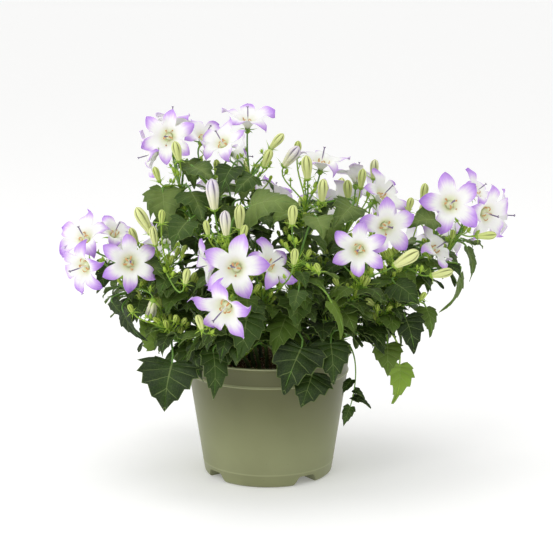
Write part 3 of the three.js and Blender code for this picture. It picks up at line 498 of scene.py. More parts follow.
def bloom_balls(bloom):
    half = math.pi / bloom.petals
    marks = [balls(bloom.throat, THROAT_BALL)]
    for number in range(bloom.petals):
        middle = bloom.turn + 2 * half * number
        for place, aside, radius in PETAL_BALLS:
            marks.append(balls(bloom.ring(place, middle + aside * half), radius))
    return np.vstack(marks)


def sepal_balls(centre, look, reach, along):
    angles = np.arange(SEPALS) * 2 * math.pi / SEPALS
    tips = balls(around(centre, look, reach, angles, np.full(SEPALS, along)), 0.8, CALYX)
    middles = balls(around(centre, look, reach / 2, angles, np.full(SEPALS, along / 2)), 1, CALYX)
    return np.vstack([tips, middles])


print("balls for five petals:", 5 * len(PETAL_BALLS))

# %% [markdown]
# ## Stems
# The stems come out of the soil close together, each under its own part of the bush. Those that would start
# in the same place push each other apart. Each then tries a few leans and sways between its root and its
# tip.

# %% Stems from the crown
ROOT_SPACING = 9
ROOT_ROUNDS = 300
ROOT_REACH = (0.3, 0.4)  # a root's place as shares of its tip's, across and in depth
LEANS = (0.08, 0.2, 0)
SWAYS = (0, 7, -7, 14, -14, 21, -21, 28, -28)
STEM_ROOM = 2.2


def crown():
    roots = [np.array([ROOT_REACH[0] * s["tip"][0], ROOT_REACH[1] * s["tip"][1], SOIL_TOP - STEM_DEPTH])
             for s in SHOOTS]
    for _ in range(ROOT_ROUNDS):
        for i in range(len(roots)):
            for j in range(i):
                apart = roots[i] - roots[j]
                distance = math.sqrt(apart @ apart)
                if distance < ROOT_SPACING:
                    push = apart / distance * (ROOT_SPACING - distance) / 2
                    roots[i] = roots[i] + push
                    roots[j] = roots[j] - push
    return roots


def stem_route(root, tip, sway, lean):
    run = tip - root
    reach = np.linalg.norm(run)
    outward = unit(np.array([run[0], run[1], 0]))
    across = np.array([-outward[1], outward[0], 0])
    low = root + 0.4 * reach * UP + lean * reach * outward + sway * across
    high = tip - 0.3 * reach * UP - 0.1 * reach * outward + sway * across
    return Route(root, low, high, tip)


def grow_stem(root, tip, owner):
    routes = [stem_route(root, tip, sway, lean) for lean in LEANS for sway in SWAYS]
    choices = [(route, balls_along(route, 0.12, 1, 26, STEM_RADIUS, STEM)) for route in routes]
    return pick(choices, owner, STEM_ROOM)


def on_stem(spine, share):
    """A place on a stem, as a share of its length, and the way that the stem runs there."""
    place = min(share, 0.999) * STEM_STEPS
    low = int(place)
    return lerp(spine[low], spine[low + 1], place - low), unit(spine[low + 1] - spine[low])


print("ways for a stem:", len(LEANS) * len(SWAYS))

# %% [markdown]
# ## Stalks
# A bloom or bud stands on a thin stalk, which leaves the stem near its top and comes in straight from
# behind. It tries to leave the stem a little higher or lower until it has room.

# %% Stalks
HIGH_SHARES = [0.97, 0.91, 0.85, 0.99, 0.79, 0.73, 0.67, 0.61, 0.55, 0.49]
STALK_ROOM = 1.2
STALK_BALL = PEDICEL_RADIUS + 0.3


def stalk_route(spine, share, end, arrival):
    """A stalk leaves the stem at a share of the stem's way and comes in to its end along a direction."""
    start, along = on_stem(spine, share)
    reach = np.linalg.norm(end - start)
    leave = unit(lerp(along, unit(end - start), 0.6))
    return Route(start, start + 0.35 * reach * leave, end - 0.4 * reach * arrival, end)


def grow_stalk(spine, shares, end, arrival, extra, owner):
    choices = []
    for share in shares:
        route = stalk_route(spine, share, end, arrival)
        marks = balls_along(route, 0.12, 0.94, 12, STALK_BALL, STALK)
        choices.append((route, np.vstack([marks, extra]) if len(extra) else marks))
    route, marks = pick(choices, owner, STALK_ROOM)
    take(marks, owner)
    return route


print("places for a stalk:", len(HIGH_SHARES))

# %% [markdown]
# ## Buds
# The large buds stand where the list says. The small green ones beside each head are too many to list, so
# each is drawn round its stem and turned on by 67 degrees until it finds room.

# %% Buds
SMALL_BUD_TURN = 67
SMALL_BUD_TRIES = 18
SMALL_BUD_REACH = 6
SMALL_BUD_LENGTHS = (7, 11)


def bud_of(foot, look, length, reach, stalk):
    return SimpleNamespace(foot=foot, look=look, length=length, reach=reach, stalk=stalk)


def grow_bud(spine, entry, owner):
    base, azimuth, lift, length = entry
    look = frame_of(facing(azimuth, lift))
    foot = np.array(base, float)
    reach = lerp(5, 8, min(1, length / 20))
    body = balls(foot + np.outer([0.25, 0.5, 0.75], look.axis) * length, 0.17 * length)
    extra = np.vstack([body, sepal_balls(foot, look, reach, 3)])
    stalk = grow_stalk(spine, HIGH_SHARES, foot + look.axis, look.axis, extra, owner)
    return bud_of(foot, look, length, reach, stalk)


def grow_small_bud(spine, shares, reaches, draw, owner, enough=0.5):
    share = lerp(*shares, draw())
    azimuth = 360 * draw()
    length = lerp(*SMALL_BUD_LENGTHS, draw())
    reach = lerp(*reaches, draw())
    start, _ = on_stem(spine, share)
    for number in range(SMALL_BUD_TRIES):
        turned = azimuth + SMALL_BUD_TURN * number
        axis = facing(turned, 62 - 9 * (number % 4))
        look = frame_of(axis)
        foot = start + reach * facing(turned, 45)
        route = stalk_route(spine, share, foot + axis, axis)
        marks = np.vstack([balls(foot + 0.5 * length * axis, 0.25 * length),
                           sepal_balls(foot, look, SMALL_BUD_REACH, 3),
                           balls_along(route, 0.15, 0.94, 6, STALK_BALL, STALK)])
        if room_for(marks, owner) >= enough:
            take(marks, owner)
            return bud_of(foot, look, length, SMALL_BUD_REACH, route)
    return None


print("small buds, mm long:", *SMALL_BUD_LENGTHS)

# %% [markdown]
# ## Leaves
# A leaf lies between the base of its blade and its tip, arched along its length and folded a little on its
# midrib. Both the balls here and the mesh later are placed on this one surface, so what was tested for room
# is what is seen.

# %% A leaf's blade
LEAF_ARCH = 0.1
LEAF_BALL = 2.2
BALL_SPACING = 6.5
WIDEST_AT = 0.25


def leaf_of(base, tip, face, width, fold):
    length = np.linalg.norm(tip - base)
    along = (tip - base) / length
    side = unit(np.cross(face, along))
    return SimpleNamespace(base=base, along=along, side=side, up=np.cross(along, side), length=length,
                           width=width, fold=fold, young=0.0)


def leaf_point(leaf, share, out, rise=0.0):
    """Points on a blade: how far from its base to its tip, how far out to its edge, how far above it."""
    arch = LEAF_ARCH * leaf.length * np.sin(math.pi * share)
    wing = leaf.fold * np.abs(out) * leaf.width * 0.5
    points = leaf.base + np.asarray(share * leaf.length)[..., None] * leaf.along
    points = points + np.asarray(out * leaf.width * 0.5)[..., None] * leaf.side
    return points + np.asarray(arch + wing + rise)[..., None] * leaf.up


def leaf_breadth(share):
    """How wide a blade is at a share of its length, as a share of its full width."""
    if share < WIDEST_AT:
        return lerp(0.6, 1, share / WIDEST_AT)
    return max(0, (1 - share) / (1 - WIDEST_AT)) ** 0.8


def leaf_balls(leaf):
    places = []
    rows = math.ceil(leaf.length / BALL_SPACING)
    for row in range(rows + 1):
        breadth = leaf_breadth(row / rows)
        columns = math.ceil(breadth * leaf.width * 0.5 / BALL_SPACING)
        for column in range(-columns, columns + 1):
            places.append((row / rows, breadth * column / columns if columns else 0))
    share, out = np.array(places).T
    return balls(leaf_point(leaf, share, out), LEAF_BALL)


print("breadth half way:", round(leaf_breadth(0.5), 2))

# %% Leaves of the list and of the spiral
LISTED_SHARES = [0.3, 0.36, 0.42, 0.48, 0.54, 0.6, 0.66, 0.72, 0.78, 0.84, 0.9, 0.95]
LISTED_FOLDS = [0.18, -0.22, 0.05]
SHORTEST_STALK = 12
SPIRAL = 137.5
LEAF_TRIES = 18


def grow_listed_leaf(spine, entry, fold, owner):
    base, tip, azimuth, lift, width = entry
    leaf = leaf_of(np.array(base, float), np.array(tip, float), facing(azimuth, lift), width, fold)
    way = {share: np.linalg.norm(on_stem(spine, share)[0] - leaf.base) for share in LISTED_SHARES}
    shares = sorted((share for share in LISTED_SHARES if way[share] > SHORTEST_STALK), key=way.get)
    leaf.stalk = grow_stalk(spine, shares, leaf.base, leaf.along, leaf_balls(leaf), owner)
    return leaf


def grow_spiral_leaf(spine, number, leaves, draw, owner, size=1.0, enough=0.6, shares=(0.3, 0.93)):
    """A leaf of the spiral, the lower ones larger and on longer stalks, where one of some tries has room."""
    share = lerp(*shares, (number + 0.7 * draw()) / leaves)
    length = size * lerp(46, 20, share) * lerp(0.8, 1.15, draw())
    width = length * lerp(0.7, 0.95, draw())
    reach = lerp(30, 12, share) * lerp(0.8, 1.2, draw())
    turned = number * SPIRAL + 360 * draw()
    fold = lerp(-0.25, 0.3, draw())
    droop = lerp(25, 65, draw())
    start, _ = on_stem(spine, share)
    outward = math.degrees(math.atan2(start[0], -start[1]))
    for i in range(LEAF_TRIES):
        azimuth = outward + lerp(-1, 1, ((turned + i * 71) % 360) / 360) * lerp(110, 180, share)
        base = start + reach * facing(azimuth, 30 - 6 * (i % 3))
        tip = base + length * facing(azimuth + 12 * ((i % 5) - 2), -droop + 10 * (i % 4))
        leaf = leaf_of(base, tip, facing(azimuth, 60), width, fold)
        leaf.stalk = stalk_route(spine, share, base, facing(azimuth, -10))
        marks = np.vstack([balls_along(leaf.stalk, 0.15, 1, 8, STALK_BALL, STALK), leaf_balls(leaf)])
        if room_for(marks, owner) >= enough:
            take(marks, owner)
            return leaf
    return None


print("large leaves:", sum(len(shoot["leaves"]) for shoot in SHOOTS))

# %% [markdown]
# ## The plant of the solids
# Everything now grows in one fixed order: blooms, stems, stalks, large buds, large leaves, one small bud a
# shoot and two leaves of the spiral. What comes later makes way for what came before.

# %% Grow the plant of the solids
SPIRAL_LEAVES = 2


def shoots_with_blooms():
    grown = []
    for i, (listed, root) in enumerate(zip(SHOOTS, crown())):
        blooms = [bloom_of(entry, f"bloom_{listed['name']}_{k + 1}", 100 + 10 * i + k)
                  for k, entry in enumerate(listed["blooms"])]
        grown.append(SimpleNamespace(name=listed["name"], owner=i, listed=listed, root=root, blooms=blooms,
                                     buds=[], leaves=[]))
    for shoot in grown:
        for bloom in shoot.blooms:
            take(bloom_balls(bloom), bloom.owner)
            take(sepal_balls(bloom.throat, bloom.look, SEPAL_REACH, -2.5), shoot.owner)
    return grown


def grow_plant():
    draw_buds, draw_leaves = draw_from(BUD_SEED), draw_from(LEAF_SEED)
    grown = shoots_with_blooms()
    for shoot in grown:
        shoot.stem, marks = grow_stem(shoot.root, np.array(shoot.listed["tip"], float), shoot.owner)
        shoot.spine = shoot.stem.even(STEM_STEPS)
        take(marks, shoot.owner)
    for shoot in grown:
        for bloom in shoot.blooms:
            end = bloom.throat + (1.6 - CALYX_DEPTH) * bloom.look.axis
            bloom.stalk = grow_stalk(shoot.spine, HIGH_SHARES, end, bloom.look.axis, [], shoot.owner)
    for shoot in grown:
        shoot.buds = [grow_bud(shoot.spine, entry, shoot.owner) for entry in shoot.listed["buds"]]
    for shoot in grown:
        shoot.leaves = [grow_listed_leaf(shoot.spine, entry, LISTED_FOLDS[k % 3], shoot.owner)
                        for k, entry in enumerate(shoot.listed["leaves"])]
    for shoot in grown:
        bud = grow_small_bud(shoot.spine, (0.72, 0.98), (13, 24), draw_buds, shoot.owner)
        if bud:
            shoot.buds.append(bud)
    for number in range(SPIRAL_LEAVES):
        for shoot in grown:
            leaf = grow_spiral_leaf(shoot.spine, number, SPIRAL_LEAVES, draw_leaves, shoot.owner)
            if leaf:
                shoot.leaves.append(leaf)
    return grown


def plant_count(grown):
    return sum(len(shoot.leaves) for shoot in grown), sum(len(shoot.buds) for shoot in grown)


shoots = grow_plant()
print("leaves and buds:", *plant_count(shoots), "balls:", taken_count)

# %% [markdown]
# ## More leaves and buds than the solids hold
# A real shoot carries a dozen small leaves and a cluster of green buds. The solids hold only what gives the
# plant its shape. Here the spiral goes on with smaller leaves where there is room. The peat shows through a
# gap over the front of the rim, so that gap is marked as taken first.

# %% Small leaves and buds
MORE_BUDS = 12
BROADER = 1.14
# Leaves for each shoot, their size, the room that they need, and where on the stem they stand.
LEAF_ROUNDS = [(9, 0.76, -0.4, (0.3, 0.93)), (5, 0.92, -1.3, (0.6, 0.97)), (9, 0.5, -1.0, (0.3, 0.95))]
GAP_OWNER = 999
GAP_RADIUS = 8
for x in (-26, -14, -4):
    take(balls([[x, -60, 106], [x, -74, 112], [x, -86, 116]], GAP_RADIUS), GAP_OWNER)
draw_more = draw_from(FINE_SEED)
for _ in range(MORE_BUDS):
    for shoot in shoots:
        bud = grow_small_bud(shoot.spine, (0.66, 0.99), (6, 24), draw_more, shoot.owner, enough=-0.7)
        if bud:
            bud.length *= lerp(0.55, 1, draw_more())
            bud.reach = 0.45 * bud.length
            shoot.buds.append(bud)
for leaves, size, enough, shares in LEAF_ROUNDS:
    for number in range(leaves):
        for shoot in shoots:
            leaf = grow_spiral_leaf(shoot.spine, number, leaves, draw_more, shoot.owner, size, enough, shares)
            if leaf:
                leaf.width *= BROADER
                shoot.leaves.append(leaf)
print("leaves and buds:", *plant_count(shoots))

# %% [markdown]
# ## Leaves in the head of the bush
# Between the stems at the top the photograph shows dark leaves that close the view into the bush. The
# spiral rarely puts one there, so nine are given one by one, each as its shoot and then as in the list.

# %% Leaves that fill the head
HEAD_LEAVES = [
    ("top_left", [[-88, 6, 240], [-97, -6, 216], -35, 30, 24]),
    ("top_left", [[-78, 14, 222], [-92, 4, 198], 25, 55, 25]),
    ("top_left_mid", [[-56, -6, 232], [-57, -20, 208], 20, 15, 25]),
    ("top_mid", [[-30, -8, 226], [-34, -22, 200], 0, 35, 30]),
    ("top_mid", [[-2, 4, 236], [-8, -8, 212], 10, 35, 26]),
    ("top_right", [[20, 0, 224], [14, -12, 200], 0, 35, 28]),
    ("right_back", [[52, 14, 214], [48, 2, 190], 5, 35, 28]),
    ("left_buds", [[-96, -16, 186], [-108, -24, 166], -40, 50, 20]),
    ("top_left", [[-66, 10, 262], [-60, -2, 242], 10, 40, 22])]
HEAD_FOLD = 0.2
named_shoots = {shoot.name: shoot for shoot in shoots}
for name, entry in HEAD_LEAVES:
    shoot = named_shoots[name]
    fold = lerp(-HEAD_FOLD, HEAD_FOLD, draw_more())
    shoot.leaves.append(grow_listed_leaf(shoot.spine, entry, fold, shoot.owner))
print("leaves and buds with those of the head:", *plant_count(shoots))

# %% [markdown]
# ## Making a mesh
# Everything here grows along a line or spreads from one, so two helpers make nearly all of it: a grid of
# points laid row by row, and a tube along a path. Copies of one leaf would look like copies.

# %% Grids and smooth curves
def grid_faces(rows, columns, loop=False):
    """Four-sided faces over points laid row by row. A loop joins each row's end to its start."""
    index = np.arange(rows * columns).reshape(rows, columns)
    if loop:
        index = np.hstack([index, index[:, :1]])
    corners = [index[:-1, :-1], index[:-1, 1:], index[1:, 1:], index[1:, :-1]]
    return np.stack(corners, axis=-1).reshape(-1, 4)


def smooth_through(xs, ys, x):
    """A smooth curve through some points, read at x."""
    xs, ys, x = np.asarray(xs, float), np.asarray(ys, float), np.asarray(x, float)
    slopes = np.gradient(ys, xs)
    i = np.clip(np.searchsorted(xs, x) - 1, 0, len(xs) - 2)
    step = xs[i + 1] - xs[i]
    t = (x - xs[i]) / step
    low = (1 + 2 * t) * (1 - t) ** 2 * ys[i] + t * (1 - t) ** 2 * step * slopes[i]
    return low + t * t * (3 - 2 * t) * ys[i + 1] + t * t * (t - 1) * step * slopes[i + 1]


def ease(low, high, x):
    """0 below low, 1 above high, and a smooth step between."""
    t = np.clip((x - low) / (high - low), 0, 1)
    return t * t * (3 - 2 * t)


print("faces over 4 rows of 3 points:", len(grid_faces(4, 3)))

# %% Tubes
def capped(rings, faces):
    """Rings of points with their faces, closed at both ends by a point in the middle of the end ring."""
    rows, sides = rings.shape[:2]
    points = np.vstack([rings.reshape(-1, 3), rings[0].mean(0), rings[-1].mean(0)])
    start, end = rows * sides, rows * sides + 1
    here = np.arange(sides)
    after = (here + 1) % sides
    last = (rows - 1) * sides
    fans = np.vstack([np.stack([np.full(sides, start), after, here], axis=1),
                      np.stack([np.full(sides, end), last + here, last + after], axis=1)])
    return points, [faces, fans]


def tube(path, radii, sides, flat=1.0, face=None):
    """A tube along a path. A face direction and a flatness make it a strip, as wide as the radii say."""
    path = np.asarray(path, float)
    tangents = np.gradient(path, axis=0)
    tangents /= np.linalg.norm(tangents, axis=1)[:, None]
    upward = face if face is not None else frame_of(tangents[0]).upward
    angles = np.arange(sides) * 2 * math.pi / sides
    rings = []
    for at, tangent, radius in zip(path, tangents, np.broadcast_to(radii, len(path))):
        upward = unit(upward - tangent * (upward @ tangent))
        across = np.cross(upward, tangent)
        wide, deep = np.outer(np.cos(angles), across), np.outer(np.sin(angles), upward)
        rings.append(at + radius * (wide + flat * deep))
    return capped(np.array(rings), grid_faces(len(path), sides, loop=True))


print("faces round a tube of 10 rings:", len(tube(np.outer(range(10), UP), 1, 8)[1][0]))

# %% [markdown]
# ## Blades from sheets
# Light catches the rim of a real blade, and its two sides differ. So each sheet is doubled, and a band of
# faces closes its rim.

# %% Blades
NEVER_ZERO = 1e-12


def thicken(points, faces, thickness):
    """A sheet made into a closed blade. Its points come back twice: upper side first, then the lower.

    The lower faces start at the same corner as the upper ones, so both are split along the same diagonal
    and neither pokes through the other where the sheet is twisted."""
    corners = points[faces]
    normals = np.cross(corners[:, 2] - corners[:, 0], corners[:, 3] - corners[:, 1])
    normals /= np.linalg.norm(normals, axis=1)[:, None] + NEVER_ZERO
    at_points = np.zeros_like(points)
    for corner in range(4):
        np.add.at(at_points, faces[:, corner], normals)
    at_points /= np.linalg.norm(at_points, axis=1)[:, None] + NEVER_ZERO
    count = len(points)
    start, end = faces.reshape(-1), np.roll(faces, -1, axis=1).reshape(-1)
    rim = ~np.isin(start * count + end, end * count + start)
    start, end = start[rim], end[rim]
    edge = np.stack([end, start, start + count, end + count], axis=1)
    both = np.vstack([points + at_points * thickness / 2, points - at_points * thickness / 2])
    return both, np.vstack([faces, faces[:, [0, 3, 2, 1]] + count, edge])


def twice(values):
    """Numbers of a sheet's points, for the points of both sides of its blade."""
    return np.concatenate([np.ravel(values), np.ravel(values)])


def side_of(count):
    """0 for the points of a blade's upper side, 1 for those of its lower side."""
    return np.concatenate([np.zeros(count), np.ones(count)])


square = np.array([[0, 0, 0], [1, 0, 0], [1, 1, 0], [0, 1, 0]], float)
print("faces round a square blade:", len(thicken(square, np.array([[0, 1, 2, 3]]), 0.1)[1]))

# %% [markdown]
# ## Skins and pieces
# A skin gathers many blades and tubes into one mesh, with a few numbers at each point, such as how far
# along a petal it lies. The finishes read those numbers, so a vein stays on its leaf however the leaf is
# turned, which no flat projection would do. A piece is a finished skin in place of its solid.

# %% Skins
class Skin:
    def __init__(self, *fields):
        self.values = {field: [] for field in fields}
        self.points, self.faces, self.finishes, self.count = [], [], [], 0

    def add(self, points, faces, finish=0, **values):
        for block in faces if isinstance(faces, list) else [faces]:
            self.faces.append(block + self.count)
            self.finishes.append(np.full(len(block), finish, np.int32))
        for field, blocks in self.values.items():
            blocks.append(np.broadcast_to(values.get(field, 0.0), len(points)).astype(np.float32))
        self.points.append(points)
        self.count += len(points)


def make_piece(name, skin, finishes, slot, nodes, sharp=50):
    """One piece from a skin: its mesh, its numbers and finishes, and the solids that it stands for."""
    mesh = bpy.data.meshes.new(name)
    faces = [face for block in skin.faces for face in block.tolist()]
    mesh.from_pydata((np.vstack(skin.points) * MM).tolist(), [], faces)
    mesh.polygons.foreach_set("material_index", np.concatenate(skin.finishes))
    for field, blocks in skin.values.items():
        mesh.attributes.new(field, "FLOAT", "POINT").data.foreach_set("value", np.concatenate(blocks))
    for finish in finishes:
        mesh.materials.append(finish)
    mesh.shade_smooth()
    mesh.set_sharp_from_angle(angle=math.radians(sharp))
    made = bpy.data.objects.new(name, mesh)
    bpy.context.scene.collection.objects.link(made)
    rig.ride(made, "root")
    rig.replaces(made, *nodes)
    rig.slot(made, slot)
    return made


def triangles_of(piece):
    return sum(len(face.vertices) - 2 for face in piece.data.polygons)


test_skin = Skin("along")
test_skin.add(*tube(np.outer(range(4), UP), 1, 6), along=0.5)
print("points in a skin:", test_skin.count)

# %% [markdown]
# ## Colours and nodes
# Colours are hex values, as a paint chart gives them, and turned to linear light in one place. One helper
# adds a node with its choices and links, and every finish is built from it alone. A MapRange node takes its
# value at 0, the range it reads at 1 and 2 and the range it gives at 3 and 4. A Mix node takes its share at
# 0. Each pattern's grain is given in millimetres on the real thing and becomes the node's scale.

# %% Colour and node helpers
COLOURS = {"output": 2, "data_type": "RGBA"}  # a Mix of two colours, which come in at 6 and 7
SMOOTH = {"interpolation_type": "SMOOTHSTEP"}


def linear(code):
    """A hex colour such as 8f9a72 as linear red, green, blue and full alpha."""
    parts = [int(code[i : i + 2], 16) / 255 for i in (0, 2, 4)]
    return (*[p / 12.92 if p <= 0.04045 else ((p + 0.055) / 1.055) ** 2.4 for p in parts], 1.0)


def scale_for(size):
    """The Scale of a noise or cell pattern whose grains are this many millimetres across."""
    return 1 / (size * MM)


def add_node(tree, kind, inputs=None, output=0, **choices):
    """Adds a node and gives one of its outputs. Its inputs take a number, a colour or another output."""
    node = tree.nodes.new("ShaderNode" + kind)
    for name, value in choices.items():
        setattr(node, name, value)
    for name, value in (inputs or {}).items():
        if isinstance(value, bpy.types.NodeSocket):
            tree.links.new(value, node.inputs[name])
        else:
            node.inputs[name].default_value = value
    return node.outputs[output] if len(node.outputs) else node


def new_finish(name):
    """A new material with nothing on it yet, and the way to add a node to it."""
    material = bpy.data.materials.new(name)
    material.use_nodes = True
    material.node_tree.nodes.clear()
    return material, functools.partial(add_node, material.node_tree)


print("linear sage green:", np.round(linear("8f9a72"), 3))

# %% [markdown]
# ## Leaf tissue
# A bellflower leaf is dark green with a satin cuticle. Its main veins are paler and sunk in, its rim is a
# thin light line, its underside is greyer, and young leaves are yellow green. The veins run from the midrib
# to the tooth tips, so they are drawn from two numbers that the leaf's grid carries: which tooth a row
# belongs to, and how far out a point lies. A tooth's stretch of edge is about 5 mm, and a vein takes 0.02
# to 0.09 of it, so it is 0.1 to 0.4 mm wide.

# %% Veins of a leaf
VEIN_AT = 0.8  # the part of a tooth's stretch of edge where its tip stands
VEIN_BEND = 5.88  # mm from one slight bend of a side vein to the next
VEIN_SWAY = 0.16
VEINLET_NET = 2.083  # mm; the meshes of a real leaf are near 1 mm, drawn coarser so that they show


def leaf_veins(add, across, spot):
    """How much of a vein lies at each point: a midrib, a side vein to each tooth, a faint net between."""
    step = add("Attribute", output="Fac", attribute_name="vein_step")
    place = add("Math", {0: add("Math", {0: step, 1: 0.5 - VEIN_AT}, operation="ADD")}, operation="FRACT")
    aside = add("Math", {0: place, 1: 0.5 + VEIN_SWAY / 2}, operation="SUBTRACT")
    bends = add("TexNoise", {"Vector": spot, "Scale": scale_for(VEIN_BEND), "Detail": 1})
    aside = add("Math", {0: bends, 1: VEIN_SWAY, 2: aside}, operation="MULTIPLY_ADD")
    aside = add("Math", {0: aside}, operation="ABSOLUTE")
    side_vein = add("MapRange", {0: aside, 1: 0.01, 2: 0.045, 3: 1, 4: 0}, **SMOOTH)
    fading = add("MapRange", {0: across, 1: 0.55, 2: 1, 3: 1, 4: 0.15}, **SMOOTH)
    side_vein = add("Math", {0: side_vein, 1: fading}, operation="MULTIPLY")
    midrib = add("MapRange", {0: across, 1: 0.015, 2: 0.05, 3: 1, 4: 0}, **SMOOTH)
    vein = add("Math", {0: side_vein, 1: midrib}, operation="MAXIMUM")
    net = add("TexVoronoi", {"Vector": spot, "Scale": scale_for(VEINLET_NET)}, feature="DISTANCE_TO_EDGE")
    net = add("MapRange", {0: net, 1: 0, 2: 0.09, 3: 0.18, 4: 0}, **SMOOTH)
    return add("Math", {0: vein, 1: net}, operation="MAXIMUM")


print("a side vein's place in its tooth:", VEIN_AT)

# %% Leaf finish
LEAF_MOTTLE = 3.846  # mm across a lighter or darker patch
LEAF_PORES = 0.625  # mm; the skin's cells are 0.05 mm, drawn as coarse as the render can show


def leaf_colour(add, across, mottle, vein):
    """Dark to mid green with each leaf's tone, then young leaves, veins, rim and underside."""
    swing = add("Math", {0: mottle, 1: 0.36, 2: -0.18}, operation="MULTIPLY_ADD")
    swing = add("Math", {0: across, 1: -0.34, 2: swing}, operation="MULTIPLY_ADD")
    swing = add("Math", {0: swing, 1: 0.13}, operation="ADD")
    tone, young, under = [add("Attribute", output="Fac", attribute_name=name)
                          for name in ("tone", "young", "under")]
    tone = add("Math", {0: tone, 1: swing}, operation="ADD")
    low = add("MapRange", {0: tone, 1: 0, 2: 0.6}, **SMOOTH)
    colour = add("Mix", {0: low, 6: linear("1a2b0a"), 7: linear("354d16")}, **COLOURS)
    # The highest tones, mostly on upper leaves, are partly painted light and partly their own greyer tone.
    high = add("MapRange", {0: tone, 1: 0.6, 2: 1.2}, **SMOOTH)
    on_vein = add("Math", {0: vein, 1: 0.38}, operation="MULTIPLY")
    on_rim = add("MapRange", {0: across, 1: 0.95, 2: 1, 3: 0, 4: 0.4}, **SMOOTH)
    under = add("Math", {0: under, 1: 0.45}, operation="MULTIPLY")
    for share, code in ((high, "6d8040"), (young, "84a338"), (on_vein, "94a863"), (on_rim, "869c4e"),
                        (under, "82965c")):
        colour = add("Mix", {0: share, 6: colour, 7: linear(code)}, **COLOURS)
    return colour


# Satin: the low specular level and a roughness near 0.5 give a soft sheen and no hard glints.
leaf_finish, add = new_finish("leaf_tissue_satin_cuticle")
across = add("Attribute", output="Fac", attribute_name="across")
across = add("Math", {0: across}, operation="ABSOLUTE")
spot = add("TexCoord", output="Object")
vein = leaf_veins(add, across, spot)
mottle = add("TexNoise", {"Vector": spot, "Scale": scale_for(LEAF_MOTTLE), "Detail": 4})
pores = add("TexNoise", {"Vector": spot, "Scale": scale_for(LEAF_PORES), "Detail": 2})
pores = add("Math", {0: pores, 1: 0.25}, operation="MULTIPLY")
height = add("Math", {0: pores, 1: vein}, operation="SUBTRACT")
bump = add("Bump", {"Height": height, "Strength": 0.6, "Distance": 0.3 * MM})
rough = add("Math", {0: mottle, 1: 0.25, 2: 0.38}, operation="MULTIPLY_ADD")
surface = add("BsdfPrincipled", {
    "Base Color": leaf_colour(add, across, mottle, vein), "Roughness": rough, "IOR": 1.42,
    "Specular IOR Level": 0.28, "Normal": bump, "Subsurface Weight": 0.12,
    "Subsurface Radius": (0.5, 1.0, 0.2), "Subsurface Scale": 0.8 * MM})
add("OutputMaterial", {"Surface": surface})
print("made", leaf_finish.name)

# %% [markdown]
# ## Green stalks
# Stems, stalks, sepals and bracts share one juicy green skin, smooth and a little wet to the eye. Old stems
# are a dull dark green, young parts a bright yellow green, by a number, fresh, at each point.

# %% Stalk finish
STALK_MOTTLE = 2.38  # mm across a lighter or darker patch
stalk_finish, add = new_finish("green_stalk_skin")
spot = add("TexCoord", output="Object")
mottle = add("TexNoise", {"Vector": spot, "Scale": scale_for(STALK_MOTTLE), "Detail": 3})
swing = add("Math", {0: mottle, 1: 0.5, 2: -0.25}, operation="MULTIPLY_ADD")
fresh = add("Attribute", output="Fac", attribute_name="fresh")
fresh = add("Math", {0: fresh, 1: swing}, operation="ADD")
grown = add("MapRange", {0: fresh, 1: 0, 2: 0.5}, **SMOOTH)
colour = add("Mix", {0: grown, 6: linear("3a4a22"), 7: linear("5f8a34")}, **COLOURS)
bright = add("MapRange", {0: fresh, 1: 0.45, 2: 1}, **SMOOTH)
colour = add("Mix", {0: bright, 6: colour, 7: linear("a3c23f")}, **COLOURS)
bump = add("Bump", {"Height": mottle, "Strength": 0.3, "Distance": 0.15 * MM})
surface = add("BsdfPrincipled", {
    "Base Color": colour, "Roughness": 0.42, "IOR": 1.45, "Normal": bump, "Subsurface Weight": 0.1,
    "Subsurface Radius": (0.6, 1.0, 0.2), "Subsurface Scale": 0.8 * MM})
add("OutputMaterial", {"Surface": surface})
print("made", stalk_finish.name)

# %% [markdown]
# ## Bud skin
# A bud is five petals folded along their middles into a pleated spindle. It is green when small, then cream
# with olive grooves, and the ripest show lilac at the tip. The number groove says how deep in a pleat a
# point lies, along how far up the bud, ripe how old it is and violet how much lilac it shows. The skin is
# as matt as a petal, so the pleats are read by colour and shade.

# %% Bud finish
BUD_GRAIN = 1.11  # mm; a petal's cells are far finer, drawn coarser so that the skin isn't glassy
bud_finish, add = new_finish("bud_petal_tissue")
along, groove, ripe, violet = [add("Attribute", output="Fac", attribute_name=name)
                               for name in ("along", "groove", "ripe", "violet")]
ripe = add("MapRange", {0: ripe, 1: 0.1, 2: 0.8}, **SMOOTH)
colour = add("Mix", {0: ripe, 6: linear("a8c23a"), 7: linear("dbe09c")}, **COLOURS)
upper = add("MapRange", {0: along, 1: 0.1, 2: 0.9}, **SMOOTH)
pale = add("Mix", {0: upper, 6: linear("ecebc4"), 7: linear("f1ecec")}, **COLOURS)
colour = add("Mix", {0: violet, 6: colour, 7: pale}, **COLOURS)
deep = add("MapRange", {0: groove, 1: 0.35, 2: 0.95}, **SMOOTH)
deepening = add("MapRange", {0: along, 1: 0.25, 2: 0.85, 3: 0.12, 4: 0.9}, **SMOOTH)
deep = add("Math", {0: deep, 1: deepening}, operation="MULTIPLY")
dark = add("Mix", {0: violet, 6: linear("666b33"), 7: linear("55406e")}, **COLOURS)
colour = add("Mix", {0: deep, 6: colour, 7: dark}, **COLOURS)
blush = add("MapRange", {0: along, 1: 0.45, 2: 1, 3: 0, 4: 0.35}, **SMOOTH)
blush = add("Math", {0: blush, 1: violet}, operation="MULTIPLY")
colour = add("Mix", {0: blush, 6: colour, 7: linear("a58fc0")}, **COLOURS)
spot = add("TexCoord", output="Object")
grain = add("TexNoise", {"Vector": spot, "Scale": scale_for(BUD_GRAIN), "Detail": 3})
bump = add("Bump", {"Height": grain, "Strength": 0.25, "Distance": 0.15 * MM})
